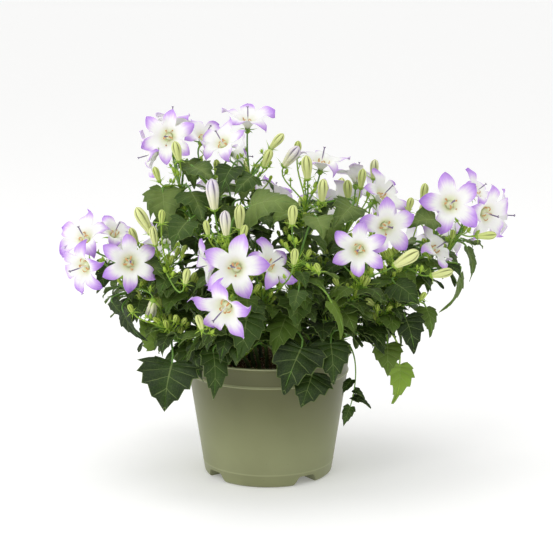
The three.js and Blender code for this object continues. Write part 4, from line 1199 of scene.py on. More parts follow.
surface = add("BsdfPrincipled", {
    "Base Color": colour, "Roughness": 0.5, "IOR": 1.4, "Normal": bump, "Subsurface Weight": 0.2,
    "Subsurface Radius": (0.9, 1.0, 0.5), "Subsurface Scale": 1.2 * MM})
add("OutputMaterial", {"Surface": surface})
print("made", bud_finish.name)

# %% [markdown]
# ## Petals
# The petal is a thin matt film: white in the cup, lilac to violet towards the tip and margin, with finer
# streaks along its veins, and paler on the back. The streaks are noise that is read round the bloom as on a
# cylinder, so it has no seam, and hardly changes outwards, so it draws out into lines. The cylinder's
# radius of 1 stands for the bloom's reach of 25 mm, which turns a width there into a scale.

# %% Where a petal is violet
TIP_REACH = 25  # mm from a bloom's middle to its tips
STREAK_WIDTH = 1.5625  # mm between two streaks at the tips
CLOUD_WIDTH = 8.33  # mm across a paler or deeper part of the star
DRAWN_OUT = 0.12


def petal_turn(add, reach):
    slowly = add("Math", {0: reach, 1: DRAWN_OUT}, operation="MULTIPLY")
    turn_x = add("Attribute", output="Fac", attribute_name="turn_x")
    turn_y = add("Attribute", output="Fac", attribute_name="turn_y")
    return add("CombineXYZ", {0: turn_x, 1: turn_y, 2: slowly})


def petal_outward(add, reach, turn):
    """How far towards the violet tip a point counts, with the margin, the streaks and the bloom's blush."""
    fine, broad = TIP_REACH / STREAK_WIDTH, TIP_REACH / CLOUD_WIDTH
    streaks = add("TexNoise", {"Vector": turn, "Scale": fine, "Detail": 3, "Roughness": 0.6})
    cloud = add("TexNoise", {"Vector": turn, "Scale": broad, "Detail": 1})
    swing = add("Math", {0: streaks, 1: 0.2, 2: -0.1}, operation="MULTIPLY_ADD")
    swing = add("Math", {0: cloud, 1: 0.24, 2: swing}, operation="MULTIPLY_ADD")
    side = add("Attribute", output="Fac", attribute_name="side")
    margin = add("Math", {0: side, 1: side}, operation="MULTIPLY")
    outward = add("Math", {0: margin, 1: 0.1, 2: reach}, operation="MULTIPLY_ADD")
    outward = add("Math", {0: outward, 1: swing}, operation="ADD")
    blush = add("Attribute", output="Fac", attribute_name="blush")
    return add("Math", {0: blush, 1: 0.26, 2: outward}, operation="MULTIPLY_ADD")


print("streaks round a bloom:", round(2 * math.pi * TIP_REACH / STREAK_WIDTH))

# %% Petal finish
PETAL_VEINS = 0.595  # mm between the fine lines at the tips; the real ones are finer still
# Matt and see-through: most of the light goes into the film and comes out beside where it went in.
petal_finish, add = new_finish("petal_film_matt")
reach = add("Attribute", output="Fac", attribute_name="reach")
turn = petal_turn(add, reach)
outward = petal_outward(add, reach, turn)
cup = add("MapRange", {0: reach, 1: 0.12, 2: 0.42}, **SMOOTH)
colour = add("Mix", {0: cup, 6: linear("e4ecbe"), 7: linear("f4f2f1")}, **COLOURS)
lilac = add("MapRange", {0: outward, 1: 0.82, 2: 1.18}, **SMOOTH)
violet = add("MapRange", {0: outward, 1: 1.06, 2: 1.46}, **SMOOTH)
under = add("Attribute", output="Fac", attribute_name="under")
under = add("Math", {0: under, 1: 0.5}, operation="MULTIPLY")
for share, code in ((lilac, "c6a5e8"), (violet, "9a6fc6"), (under, "efeaf6")):
    colour = add("Mix", {0: share, 6: colour, 7: linear(code)}, **COLOURS)
lines = add("TexNoise", {"Vector": turn, "Scale": TIP_REACH / PETAL_VEINS, "Detail": 1})
bump = add("Bump", {"Height": lines, "Strength": 0.35, "Distance": 0.3 * MM})
surface = add("BsdfPrincipled", {
    "Base Color": colour, "Roughness": 0.6, "IOR": 1.38, "Normal": bump, "Subsurface Weight": 0.8,
    "Subsurface Radius": (0.95, 0.85, 1.0), "Subsurface Scale": 1.3 * MM})
add("OutputMaterial", {"Surface": surface})
print("made", petal_finish.name)

# %% [markdown]
# ## The heart of a bloom
# Five filaments widen at their feet into a pale green velvet dome over the nectar. The anthers have shed
# their pollen and curl away, dry and orange brown. The long style is white below and grey violet above,
# where short hairs held the pollen. All are dull, soft tissues that change colour from foot to end, so one
# recipe makes them. Their grain is drawn coarser than the real hairs and dust, which are under 0.1 mm.

# %% Heart finishes
def heart_tissue(name, low, high, rough, grain_size):
    material, add = new_finish(name)
    spot = add("TexCoord", output="Object")
    grain = add("TexNoise", {"Vector": spot, "Scale": scale_for(grain_size), "Detail": 3})
    swing = add("Math", {0: grain, 1: 0.5, 2: -0.25}, operation="MULTIPLY_ADD")
    along = add("Attribute", output="Fac", attribute_name="along")
    along = add("Math", {0: along, 1: swing}, operation="ADD")
    share = add("MapRange", {0: along, 1: 0.2, 2: 0.8}, **SMOOTH)
    colour = add("Mix", {0: share, 6: linear(low), 7: linear(high)}, **COLOURS)
    bump = add("Bump", {"Height": grain, "Strength": 0.4, "Distance": 0.15 * MM})
    surface = add("BsdfPrincipled", {
        "Base Color": colour, "Roughness": rough, "IOR": 1.4, "Normal": bump, "Subsurface Weight": 0.15,
        "Subsurface Radius": (1.0, 0.9, 0.6), "Subsurface Scale": 0.8 * MM})
    add("OutputMaterial", {"Surface": surface})
    return material


dome_finish = heart_tissue("filament_base_velvet", "b4c283", "dfe5c4", 0.6, 0.667)
anther_finish = heart_tissue("dry_anther_skin", "f0dab8", "cb9a62", 0.7, 0.556)
style_finish = heart_tissue("style_with_pollen_hairs", "e9e4ec", "766888", 0.75, 0.385)
print("made", dome_finish.name, anther_finish.name, style_finish.name)

# %% [markdown]
# ## Leaf blades
# Each blade is a grid laid over its outline: one row for each step along the toothed edge, running in to
# the midrib as the veins do. The teeth point forward, the blade swells between the veins, and its edge
# ripples. The stalk runs on under the blade as the midrib's ridge. Small leaves take fewer teeth and rows.

# %% The outline of a blade
LARGE_LEAF = 24
SMALL_LEAF = 15
# Half an outline from its stalk to its tip: the way along the edge, and where that is along and across.
EDGE_WAY = [0, 0.07, 0.17, 0.3, 0.45, 0.6, 0.75, 0.89, 1]
EDGE_ALONG = [0.0, -0.07, -0.09, 0.05, 0.25, 0.46, 0.68, 0.87, 1.0]
EDGE_OUT = [0.05, 0.28, 0.7, 1.0, 0.99, 0.8, 0.5, 0.2, 0.012]
TOOTH_CURVE = 1.5
SHALLOWEST = 0.11
DEEPEST = 0.24
DEEPEST_SMALL = 0.2


def leaf_detail(length):
    """Teeth a side, rows of points in each tooth, columns in half a blade, and sides of its stalk."""
    if length >= LARGE_LEAF:
        return 6, [0, 0.3, 0.58, VEIN_AT], 3, 6
    if length >= SMALL_LEAF:
        return 5, [0, 0.45, VEIN_AT], 3, 5
    return 4, [0, 0.45, VEIN_AT], 2, 4


def toothed_edge(teeth, way, deepest, draw):
    """Where each row meets the midrib, and its place on the toothed edge along and across the blade."""
    edge = way / teeth
    tooth = np.interp(way % 1, [0, VEIN_AT, 1], [0, 1, 0]) ** TOOTH_CURVE
    depths = np.array([lerp(SHALLOWEST, deepest, draw()) for _ in range(teeth + 1)])
    notch = depths[np.round(way - 0.1).astype(int)] * (1 - tooth)
    notch = notch * ease(0.02, 0.16, edge) * (1 - ease(0.93, 1, edge))
    middle = 0.99 * edge**2.7
    along = lerp(smooth_through(EDGE_WAY, EDGE_ALONG, edge), middle, notch)
    return edge, middle, along, smooth_through(EDGE_WAY, EDGE_OUT, edge) * (1 - notch)


print("teeth of a large leaf:", 2 * leaf_detail(LARGE_LEAF)[0])

# %% Blade, relief and stalk of a leaf
BLADE_THICK = 0.36
SWELL = 0.045
RIPPLES = (1.2, 2.4)
RIPPLE_HEIGHTS = (0.03, 0.09)
TIP_DROOPS = (-0.02, 0.16)
RIDGE_BELOW = 0.5
# Painted light: leaves higher up are painted lighter and greyer, partly for the light on the upper leaves, partly
# their greyer tone.
LIT_FROM = 110  # leaves are lighter from this height
LIT_ALL = 250


def leaf_relief(leaf, way, edge, across, share, draw):
    """How far the blade stands above its arch: swollen between veins, rippled at the edge, drooping."""
    between = (0.5 - 0.5 * np.cos(2 * math.pi * (way - VEIN_AT)))[:, None]
    swell = SWELL * leaf.width * between
    rise = swell * np.sin(math.pi * np.abs(across)) * ease(0.02, 0.2, edge)[:, None]
    waves = np.sin(2 * math.pi * (edge[:, None] * lerp(*RIPPLES, draw()) + draw() + 0.25 * np.sign(across)))
    ripple = lerp(*RIPPLE_HEIGHTS, draw()) * leaf.width * waves
    rise = rise + ripple * across**2 * ease(0, 0.3, edge)[:, None]
    return rise - lerp(*TIP_DROOPS, draw()) * leaf.length * np.clip(share, 0, 1) ** 3


def add_leaf(blades, greens, leaf, draw):
    teeth, steps, half, sides = leaf_detail(leaf.length)
    way = np.append(np.add.outer(np.arange(teeth), steps).ravel(), teeth)
    deepest = DEEPEST if leaf.length >= LARGE_LEAF else DEEPEST_SMALL
    edge, middle, along, out = toothed_edge(teeth, way, deepest, draw)
    across = np.linspace(-1, 1, 2 * half + 1)
    share = lerp(middle[:, None], along[:, None], np.abs(across))
    rise = leaf_relief(leaf, way, edge, across, share, draw)
    points = leaf_point(leaf, share, out[:, None] * across, rise).reshape(-1, 3)
    faces = grid_faces(len(edge), len(across))[:, ::-1]
    points, faces = thicken(points, faces, BLADE_THICK)
    ones = np.ones_like(share)
    # Painted light: the tone rises with the leaf's height, so upper leaves come out lighter.
    height = ease(LIT_FROM, LIT_ALL, leaf.base[2])
    tone = lerp(0.5, 0.85, height) * draw() + 0.36 * height
    blades.add(points, faces, vein_step=twice(way[:, None] * ones), across=twice(across * ones),
               under=side_of(share.size), tone=tone, young=leaf.young)
    on_stalk, on_blade = sides + 2, sides
    ridge = leaf_point(leaf, np.linspace(0.04, 0.85, on_blade), np.zeros(on_blade), -RIDGE_BELOW)
    path = np.vstack([leaf.stalk.at(np.linspace(0, 1, on_stalk)), ridge])
    radii = np.concatenate([np.linspace(1.0, 0.7, on_stalk), np.linspace(0.6, 0.12, on_blade)])
    radii = radii * min(1, lerp(0.5, 1, leaf.length / LARGE_LEAF))
    greens.add(*tube(path, radii, sides), fresh=0.4 + 0.5 * leaf.young + 0.15 * draw())


print("a blade is", BLADE_THICK, "mm thick")

# %% [markdown]
# ## Ovaries and sepals
# Every bud and bloom sits on a small ribbed ovary with five narrow pointed sepals. The ovary is a turned
# shape. A sepal or bract is a flat tube that narrows to a point, so it is closed all round.

# %% Ovaries, sepals and bracts
OVARY_WAY = [0, 0.3, 0.7, 1]
OVARY_REACH = [0.45, 0.9, 1, 0.82]
STRIP_FLAT = 0.3


def ringed(centre, look, reach, angles, along):
    """Rings of points round an axis, with their faces turned outwards, closed at both ends."""
    rings = around(centre, look, reach, angles, along)
    points, faces = capped(rings, grid_faces(*rings.shape[:2], loop=True))
    return points, [block[:, ::-1] for block in faces]


def turns(count):
    return np.arange(count) * 2 * math.pi / count


def add_ovary(skin, foot, look, girth, low, high, fresh, sides=20):
    share = np.linspace(0, 1, 5)[:, None]
    angles = turns(sides)
    reach = smooth_through(OVARY_WAY, OVARY_REACH, share) * girth
    reach = reach * (1 + 0.07 * np.cos(sides / 2 * angles))
    skin.add(*ringed(foot, look, reach, angles, lerp(low, high, share) + 0 * reach), fresh=fresh)


def add_strip(skin, root, bow, tip, width, face, fresh, steps=6, sides=6):
    route = Route(root, lerp(root, bow, 0.7), bow, tip)
    share = np.linspace(0, 1, steps)
    radii = width * smooth_through([0, 0.3, 1], [0.75, 1, 0.06], share)
    skin.add(*tube(route.at(share), radii, sides, STRIP_FLAT, face), fresh=fresh)


print("a strip's thickness to its width:", STRIP_FLAT)

# %% [markdown]
# ## Pleated buds
# A bud is a five-ribbed spindle turned a little on its axis, as the folded petals are. Painted stripes
# would look flat from the side, so the pleats are cut into the rings themselves.

# %% A bud
BUD_WAY = [0, 0.1, 0.25, 0.45, 0.65, 0.82, 0.93, 1]
BUD_REACH = [0.5, 0.6, 0.74, 0.92, 1, 0.88, 0.58, 0.12]
SMALL_BUD = 12
RIPE_BUD = 24
PLEAT_DEPTHS = (0.24, 0.38)
BUD_TWISTS = (-0.2, 0.5)


def add_bud(skin, bud, violet, draw):
    small = bud.length < SMALL_BUD
    if small:
        girth = min(0.27 * bud.length, 2.9)
    else:
        girth = min(0.225 * bud.length, 5.2) * lerp(0.92, 1.08, draw())
    rows, sides = (7, 15) if small else (14, 30)
    share = np.linspace(0, 1, rows)[:, None]
    angles = turns(sides)
    rib = np.abs(np.cos(2.5 * (angles - math.pi / 5)))
    depth = lerp(*PLEAT_DEPTHS, draw()) * ease(0, 0.2, share) * (1 - 0.2 * ease(0.85, 1, share))
    reach = smooth_through(BUD_WAY, BUD_REACH, share) * girth * (1 - depth * (1 - rib**0.6))
    twisted = angles + lerp(*BUD_TWISTS, draw()) * share
    made = ringed(bud.foot, bud.look, reach, twisted, bud.length * share + 0 * reach)
    groove = np.append(np.ravel(1 - rib + 0 * reach), (0.5, 0.9))
    skin.add(*made, finish=1, along=np.append(np.ravel(share + 0 * reach), (0, 1)), groove=groove,
             ripe=min(1, bud.length / RIPE_BUD) * lerp(0.75, 1, draw()), violet=violet)
    add_ovary(skin, bud.foot, bud.look, 0.5 * girth + 0.4, -1.5, 1.6, 0.75, 10 if small else 20)
    add_bud_sepals(skin, bud, girth, (5, 3) if small else (6, 4), draw)
    steps = 6 if small else 9
    path = bud.stalk.at(np.linspace(0, 1, steps))
    skin.add(*tube(path, np.linspace(0.75, 0.6, steps), 5 if small else 6), fresh=lerp(0.5, 0.9, draw()))


def add_bud_sepals(skin, bud, girth, detail, draw):
    spread = lerp(0.35, 1.0, draw())
    for number in range(SEPALS):
        angle = number * 2 * math.pi / SEPALS + lerp(-0.2, 0.2, draw())
        length = bud.reach * lerp(0.95, 1.25, draw())
        root = around(bud.foot, bud.look, 0.45 * girth, angle, 0.1)
        tip = around(bud.foot, bud.look, length, angle, lerp(0.9, -0.2, spread) * length)
        bow = around(bud.foot, bud.look, 0.6 * length, angle, lerp(0.3, 0.05, spread) * length)
        width = lerp(0.6, 0.85, draw()) * lerp(0.75, 1, min(1, bud.length / 16))
        add_strip(skin, root, bow, tip, width, bud.look.axis, 0.85, *detail)


print("a bud is widest at", BUD_WAY[BUD_REACH.index(1)])

# %% [markdown]
# ## Calyces
# Under each open bloom the ovary and its sepals stand out like a small green star, and the stalk behind
# carries a few bracts. No two of the stars are quite alike.

# %% A calyx with its stalk
BRACTS_PER_STALK = 4


def add_calyx(skin, bloom, draw):
    throat, look = bloom.throat, bloom.look
    add_ovary(skin, throat, look, 2.35, -5.0, -0.5, 0.7)
    for number in range(SEPALS):
        angle = number * 2 * math.pi / SEPALS + lerp(-0.12, 0.12, draw())
        root = around(throat, look, 1.6, angle, -1.6)
        bow = around(throat, look, 5.2, angle, lerp(-0.6, -2.2, draw()))
        tip = around(throat, look, SEPAL_REACH * lerp(0.95, 1.15, draw()), angle, lerp(-1, -4, draw()))
        add_strip(skin, root, bow, tip, 0.95, look.axis, lerp(0.55, 0.85, draw()), 7)
    path = bloom.stalk.at(np.linspace(0, 1, 10))
    skin.add(*tube(path, np.linspace(0.85, 0.7, 10), 7), fresh=lerp(0.35, 0.6, draw()))
    for _ in range(BRACTS_PER_STALK):
        at = bloom.stalk.at(lerp(0.2, 0.8, draw()))
        outward = facing(360 * draw(), lerp(10, 60, draw()))
        length = lerp(4, 9, draw())
        tip = at + length * unit(outward + 0.4 * UP)
        add_strip(skin, at, at + 0.5 * length * outward, tip, lerp(0.6, 1.1, draw()), UP, 0.85, 5, 4)


print("a calyx spreads", 2 * SEPAL_REACH, "mm")

# %% [markdown]
# ## Knots of young sepals, and wisps
# Around every head the plant pushes out buds that have only begun: five sepals round a green bead on a
# short spur. Between them stand narrow young bracts. They give the head its fresh, bristling look. A bump
# in the finish couldn't stand off the stem, so they are meshes.

# %% Knots and wisps
KNOTS_PER_STALK = 2
KNOTS_PER_HEAD = 5
KNOT_SIZES = (2.2, 4.2)
KNOT_PROFILE = ([0, 0.3, 0.65, 1], [0.55, 1, 0.9, 0.25])
WISPS_PER_STEM = 42
WISP_LENGTHS = (8, 17)


def add_knot(skin, at, outward, draw):
    size = lerp(*KNOT_SIZES, draw())
    foot = at + lerp(2.5, 6, draw()) * outward
    look = frame_of(unit(outward + 0.8 * UP))
    fresh = lerp(0.8, 1.15, draw())
    route = Route(at, lerp(at, foot, 0.4), foot - 0.3 * size * look.axis, foot)
    skin.add(*tube(route.at(np.linspace(0, 1, 4)), 0.5, 4), fresh=0.8)
    share = np.linspace(0, 1, 5)[:, None]
    angles = turns(7)
    reach = smooth_through(*KNOT_PROFILE, share) * 0.42 * size + 0 * angles
    skin.add(*ringed(foot, look, reach, angles, 1.3 * size * share + 0 * reach), fresh=fresh)
    for number in range(SEPALS):
        angle = number * 2 * math.pi / SEPALS + lerp(-0.3, 0.3, draw())
        length = size * lerp(0.9, 1.6, draw())
        root = around(foot, look, 0.3 * size, angle, 0)
        bow = around(foot, look, 0.3 * size + 0.5 * length, angle, 0.1 * length)
        tip = around(foot, look, 0.3 * size + 0.8 * length, angle, lerp(0.3, 0.9, draw()) * length)
        add_strip(skin, root, bow, tip, lerp(0.5, 0.75, draw()), look.axis, fresh, 4, 3)


def add_knots(skin, shoot, draw):
    for thing in shoot.blooms + shoot.buds[: len(shoot.listed["buds"])]:
        for _ in range(KNOTS_PER_STALK):
            at = thing.stalk.at(lerp(0.25, 0.8, draw()))
            add_knot(skin, at, facing(360 * draw(), lerp(10, 70, draw())), draw)
    for _ in range(KNOTS_PER_HEAD):
        at, _along = on_stem(shoot.spine, lerp(0.75, 1, draw()))
        add_knot(skin, at, facing(360 * draw(), lerp(20, 70, draw())), draw)


def add_wisps(skin, shoot, draw):
    for _ in range(WISPS_PER_STEM):
        at, along = on_stem(shoot.spine, lerp(0.3, 1, draw()))
        outward = facing(360 * draw(), lerp(-10, 60, draw()))
        length = lerp(*WISP_LENGTHS, draw())
        tip = at + length * unit(outward + lerp(0, 0.8, draw()) * along)
        width = lerp(0.45, 0.85, draw())
        add_strip(skin, at, at + 0.55 * length * outward, tip, width, along, lerp(0.7, 1.1, draw()), 5, 3)


print("wisps on a stem:", WISPS_PER_STEM)

# %% [markdown]
# ## Stems with bracts and hairs
# A stem thins towards its head and turns from dark to fresh green. Bracts follow it in the spiral, and
# stiff hairs stand off it, which soften its outline. Hair curves would be the usual way, but a real mesh
# goes with the piece wherever it goes, so each hair is a splinter of four faces.

# %% A stem
BRACTS_PER_STEM = 44
HAIRS_PER_STEM = 170
HAIR_RADIUS = 0.07
HAIR_LENGTHS = (0.6, 1.2)
SPLINTER = np.array([[0, 1, 3], [1, 2, 3], [2, 0, 3], [0, 2, 1]])
STEM_RINGS = 41
STEM_SIDES = 9
OLD, YOUNG = -0.1, 0.6  # how fresh a stem is at its foot and at its head


def add_stem(skin, shoot, draw):
    path = shoot.stem.even(STEM_RINGS - 1)
    fresh = np.append(np.repeat(np.linspace(OLD, YOUNG, STEM_RINGS), STEM_SIDES), (OLD, YOUNG))
    skin.add(*tube(path, np.linspace(1.65, 1.1, STEM_RINGS), STEM_SIDES), fresh=fresh)
    for number in range(BRACTS_PER_STEM):
        share = lerp(0.4, 1.0, ((number + draw()) / BRACTS_PER_STEM) ** 0.8)
        at, along = on_stem(shoot.spine, share)
        outward = facing(number * SPIRAL + 60 * draw(), lerp(0, 50, draw()))
        length = lerp(6, 14, draw())
        tip = at + length * unit(outward + lerp(0.1, 0.9, draw()) * along)
        width = lerp(0.7, 1.4, draw())
        add_strip(skin, at, at + 0.5 * length * outward, tip, width, along, lerp(0.6, 1.05, draw()), 6, 3)
    add_hairs(skin, path, 1.25, HAIRS_PER_STEM, draw)


def add_hairs(skin, path, radius, count, draw):
    for _ in range(count):
        place = lerp(0.2, 0.99, draw()) * (len(path) - 1)
        low = int(place)
        outward = frame_of(unit(path[low + 1] - path[low]))
        at = lerp(path[low], path[low + 1], place - low)
        angle = 2 * math.pi * draw()
        foot = around(at, outward, 0.8 * radius, angle, 0)
        tip = around(at, outward, radius + lerp(*HAIR_LENGTHS, draw()), angle, lerp(-0.4, 0.4, draw()))
        side = unit(np.cross(tip - foot, outward.axis)) * HAIR_RADIUS
        third = unit(np.cross(tip - foot, side)) * HAIR_RADIUS
        back = foot - 0.5 * side
        skin.add(np.array([foot + side, back + 0.87 * third, back - 0.87 * third, tip]), SPLINTER, fresh=0.9)


print("hairs:", HAIRS_PER_STEM * len(shoots))

# %% [markdown]
# ## A sprig beside the pot
# At the right a thin side shoot has slipped down over the rim. It is too thin for the solids, so it is
# added here, as a route from its stem with four small leaves that are listed.

# %% A sprig that hangs beside the pot
SPRIG_SHARE = 0.4
SPRIG_ROUTE = [[72, -50, 128], [76, -54, 96], [65, -56, 64]]
SPRIG_LEAVES = [
    [[69, -55, 78], [84, -60, 71], 30, 60, 11], [[67, -56, 70], [61, -60, 55], -10, 30, 11],
    [[68, -54, 92], [60, -62, 82], -30, 30, 10], [[70, -55, 84], [79, -58, 78], 40, 40, 8]]
SPRIG_FOLD = 0.1


def add_sprig(blades, greens, spine, draw):
    route = Route(on_stem(spine, SPRIG_SHARE)[0], *SPRIG_ROUTE)
    greens.add(*tube(route.at(np.linspace(0, 1, 20)), np.linspace(0.8, 0.5, 20), 6), fresh=0.6)
    for base, tip, azimuth, lift, width in SPRIG_LEAVES:
        face = facing(azimuth, lift)
        leaf = leaf_of(np.array(base, float), np.array(tip, float), face, width, SPRIG_FOLD)
        shares = np.linspace(0, 1, 21)
        nearest = min(shares, key=lambda share: np.linalg.norm(route.at(share) - leaf.base))
        start = route.at(nearest)
        leaf.stalk = Route(start, lerp(start, leaf.base, 0.3), lerp(start, leaf.base, 0.7), leaf.base)
        add_leaf(blades, greens, leaf, draw)


print("the sprig has", len(SPRIG_LEAVES), "leaves")

# %% [markdown]
# ## Leafy stems
# The blades of a shoot are one piece with the leaf finish. Its stem, stalks, buds and calyces are another
# with the stalk and bud finishes. Both stand for the same solid. Large leaves that the photograph shows
# young, and buds that it shows violet, are listed by shoot and number.

# %% Build the leafy stems
YOUNG_LEAVES = {
    ("right_skirt", 3): 0.85, ("right_skirt", 2): 0.35, ("right_low", 0): 0.3, ("left_skirt", 1): 0.5,
    ("right_skirt", 1): 0.25, ("right_tip", 0): 0.1, ("front_buds_right", 1): 0.4}
VIOLET_BUDS = {
    ("front_buds_left", 0): 1.0, ("front_buds_left", 1): 0.75, ("top_right", 0): 0.9, ("left_low", 0): 0.8,
    ("right_back", 2): 0.2}
SPRIG_SHOOT = "right_skirt"
draw_fine = draw_from(FINE_SEED + 2)
draw_knots = draw_from(FINE_SEED + 6)
triangles = 0
for shoot in shoots:
    blades = Skin("vein_step", "across", "under", "tone", "young")
    greens = Skin("fresh", "along", "groove", "ripe", "violet")
    add_stem(greens, shoot, draw_fine)
    for number, leaf in enumerate(shoot.leaves):
        listed = number < len(shoot.listed["leaves"])
        leaf.young = YOUNG_LEAVES.get((shoot.name, number), 0.0) if listed else 0.25 * draw_fine() ** 2
        add_leaf(blades, greens, leaf, draw_fine)
    for number, bud in enumerate(shoot.buds):
        add_bud(greens, bud, VIOLET_BUDS.get((shoot.name, number), 0.0), draw_fine)
    for bloom in shoot.blooms:
        add_calyx(greens, bloom, draw_fine)
    add_knots(greens, shoot, draw_knots)
    add_wisps(greens, shoot, draw_knots)
    if shoot.name == SPRIG_SHOOT:
        add_sprig(blades, greens, shoot.spine, draw_fine)
    node = f"leafy_stem_{shoot.name}"
    made = [make_piece(f"leaves_{shoot.name}", blades, [leaf_finish], "foliage", [node]),
            make_piece(f"stalks_{shoot.name}", greens, [stalk_finish, bud_finish], "foliage", [node])]
    triangles += sum(triangles_of(piece) for piece in made)
print("leafy stems:", triangles, "triangles")

# %% [markdown]
# ## Stars
# The petals are one sheet: a funnel from the throat to the notches, then five or six free lobes. Each lobe
# narrows to a point, rolls back at its tip and ripples a little. The rows follow the rings of the solid, so
# the star keeps its size and place.

# %% One lobe of a star
NOTCH = 0.43
FUSED = [0.012, 0.05, 0.09, 0.14, 0.2, 0.26, 0.32, 0.38, NOTCH]
LOBE_ROWS = 10
LOBE_WAY = [0, 0.12, 0.3, 0.55, 0.8, 0.93, 1]
LOBE_BREADTH = [1, 0.88, 0.76, 0.58, 0.29, 0.115, 0.008]
THROAT_REACH = 0.09
CUP_HEIGHT = 0.47
CUP_CURVE = 3.2
CHANNEL = 0.04
RIPPLE = 0.03


def lobe_shape(bloom, middle, half, reach, lobe, across, draw):
    """One petal's points as how far out, at what angle and how high, the outer two as shares of its size."""
    bend = lerp(-0.1, 0.1, draw())
    twist = lerp(-0.16, 0.16, draw())
    roll = lerp(-0.05, 0.38, draw())
    trough = lerp(-0.16, 0.1, draw())
    long = lerp(0.95, 1.04, draw())
    breadth = smooth_through(LOBE_WAY, LOBE_BREADTH, lobe)
    out = reach * lerp(1, long, lobe) - 0.25 * roll * lobe**3
    angle = middle + half * breadth * across + bend * lobe**2
    risen = np.clip((reach - THROAT_REACH) / (1 - THROAT_REACH), 0, 1)
    rise = CUP_HEIGHT * (1 - (1 - risen) ** CUP_CURVE) - roll * lobe**2.4
    channel = (CHANNEL * ease(0.2, 0.5, reach) + trough * ease(0, 0.4, lobe)) * (1 - lobe**3) * across**2
    ripple = RIPPLE * np.sin(8 * lobe + 6.3 * draw() + across) * across**2 * ease(0, 0.3, lobe)
    return out, angle, (rise + channel + ripple + twist * across * lobe) * bloom.depth


print("a petal has", len(FUSED) + LOBE_ROWS, "rows of points")

# %% A star of petals
PETAL_FILM = 0.34
PETAL_COLUMNS = 9


def star_faces(petals, rows):
    """Faces over all petals. Below the notches the last column of one is the first of the next."""
    index = np.arange(petals * rows * PETAL_COLUMNS).reshape(petals, rows, PETAL_COLUMNS)
    for number in range(petals):
        index[number, : len(FUSED), -1] = index[(number + 1) % petals, : len(FUSED), 0]
    corners = [index[:, :-1, :-1], index[:, :-1, 1:], index[:, 1:, 1:], index[:, 1:, :-1]]
    return np.stack(corners, axis=-1).reshape(-1, 4)


def add_petals(skin, bloom, blush, draw):
    half, size = math.pi / bloom.petals, bloom.span / 2
    free = lerp(NOTCH, 1, np.linspace(0, 1, LOBE_ROWS + 1)[1:])
    reach = np.concatenate([FUSED, free])[:, None]
    lobe = np.clip((reach - NOTCH) / (1 - NOTCH), 0, 1)
    across = np.linspace(-1, 1, PETAL_COLUMNS)
    points, angles = [], []
    for number in range(bloom.petals):
        middle = bloom.turn + 2 * half * number
        out, angle, height = lobe_shape(bloom, middle, half, reach, lobe, across, draw)
        placed = around(bloom.throat, bloom.look, out * size + 0 * angle, angle, height * size + 0 * angle)
        points.append(placed.reshape(-1, 3))
        angles.append(angle.ravel())
    used, faces = np.unique(star_faces(bloom.petals, len(reach)), return_inverse=True)
    points, faces = thicken(np.vstack(points)[used], faces.reshape(-1, 4), PETAL_FILM)
    angles = np.concatenate(angles)[used]
    ones = np.ones((bloom.petals, len(reach), PETAL_COLUMNS))
    reaches, sides = (ones * reach).ravel()[used], np.abs(ones * across).ravel()[used]
    turn_x, turn_y = twice(np.cos(angles) + 3 * draw()), twice(np.sin(angles))
    skin.add(points, faces, reach=twice(reaches), side=twice(sides), turn_x=turn_x, turn_y=turn_y,
             under=side_of(len(used)), blush=blush)


print("the petals are", PETAL_FILM, "mm thick")

# %% [markdown]
# ## Dome, anthers and style
# The dome is turned with five soft lobes. The anthers are narrow strips that curl back over the cup. The
# style bends a little, thickens upwards and ends in three short lobes. Its hairs are left to its finish.

# %% Dome and anthers
COMMON_SPAN = 50  # the hearts' sizes are those of a bloom of this span
DOME_SIDES = 30
DOME_WAY = [0, 0.3, 0.6, 0.85, 1]
DOME_REACH = [2.7, 3.1, 2.8, 1.6, 0.5]
DOME_HEIGHT = [0.2, 1.7, 3.4, 4.4, 4.6]
ANTHER_LENGTHS = (7.5, 10)
ANTHER_CURLS = (1.2, 3.8)
ANTHER_LIFTS = (0.35, 0.95)
ANTHER_RINGS = 13
ANTHER_SIDES = 7


def add_dome(skin, bloom, scale):
    share = np.linspace(0, 1, 8)[:, None]
    angles = turns(DOME_SIDES)
    reach = smooth_through(DOME_WAY, DOME_REACH, share) * scale
    reach = reach * (1 + 0.06 * np.cos(5 * angles))
    height = smooth_through(DOME_WAY, DOME_HEIGHT, share) * scale
    made = ringed(bloom.throat, bloom.look, reach, angles, height + 0 * reach)
    skin.add(*made, finish=1, along=np.append(np.ravel(share + 0 * reach), (0, 1)))


def add_anther(skin, bloom, number, scale, draw):
    angle = (number + 0.5) * 2 * math.pi / 5 + lerp(-0.35, 0.35, draw())
    length = lerp(*ANTHER_LENGTHS, draw()) * scale
    curl = lerp(*ANTHER_CURLS, draw())
    lift = lerp(*ANTHER_LIFTS, draw())
    way = np.linspace(0, 1, ANTHER_RINGS)
    heading = lift + curl * way**2
    step = length / (ANTHER_RINGS - 1)
    out = 1.5 * scale + np.cumsum(np.cos(heading)) * step
    along = 1.5 * scale + np.cumsum(np.sin(heading)) * step
    swing = angle + 0.25 * np.sin(2 * way + 3 * draw()) * way
    path = around(bloom.throat, bloom.look, out, swing, along)
    radii = smooth_through([0, 0.35, 0.8, 1], [0.28, 0.5, 0.72, 0.25], way) * scale
    made = tube(path, radii, ANTHER_SIDES, 0.45, bloom.look.axis)
    skin.add(*made, finish=2, along=np.append(np.repeat(way, ANTHER_SIDES), (0, 1)))


print("anthers, mm long:", *ANTHER_LENGTHS)

# %% Style and heart
STYLE_LENGTH = 20.5
STYLE_RINGS = 18
STYLE_SIDES = 10
STYLE_FOOT = 2.5
STIGMA_OUT = np.array([0, 0.45, 0.95, 1.15])
STIGMA_ALONG = np.array([-0.2, 0.6, 1.0, 0.5])
STIGMA_RADII = np.array([0.45, 0.45, 0.34, 0.14])


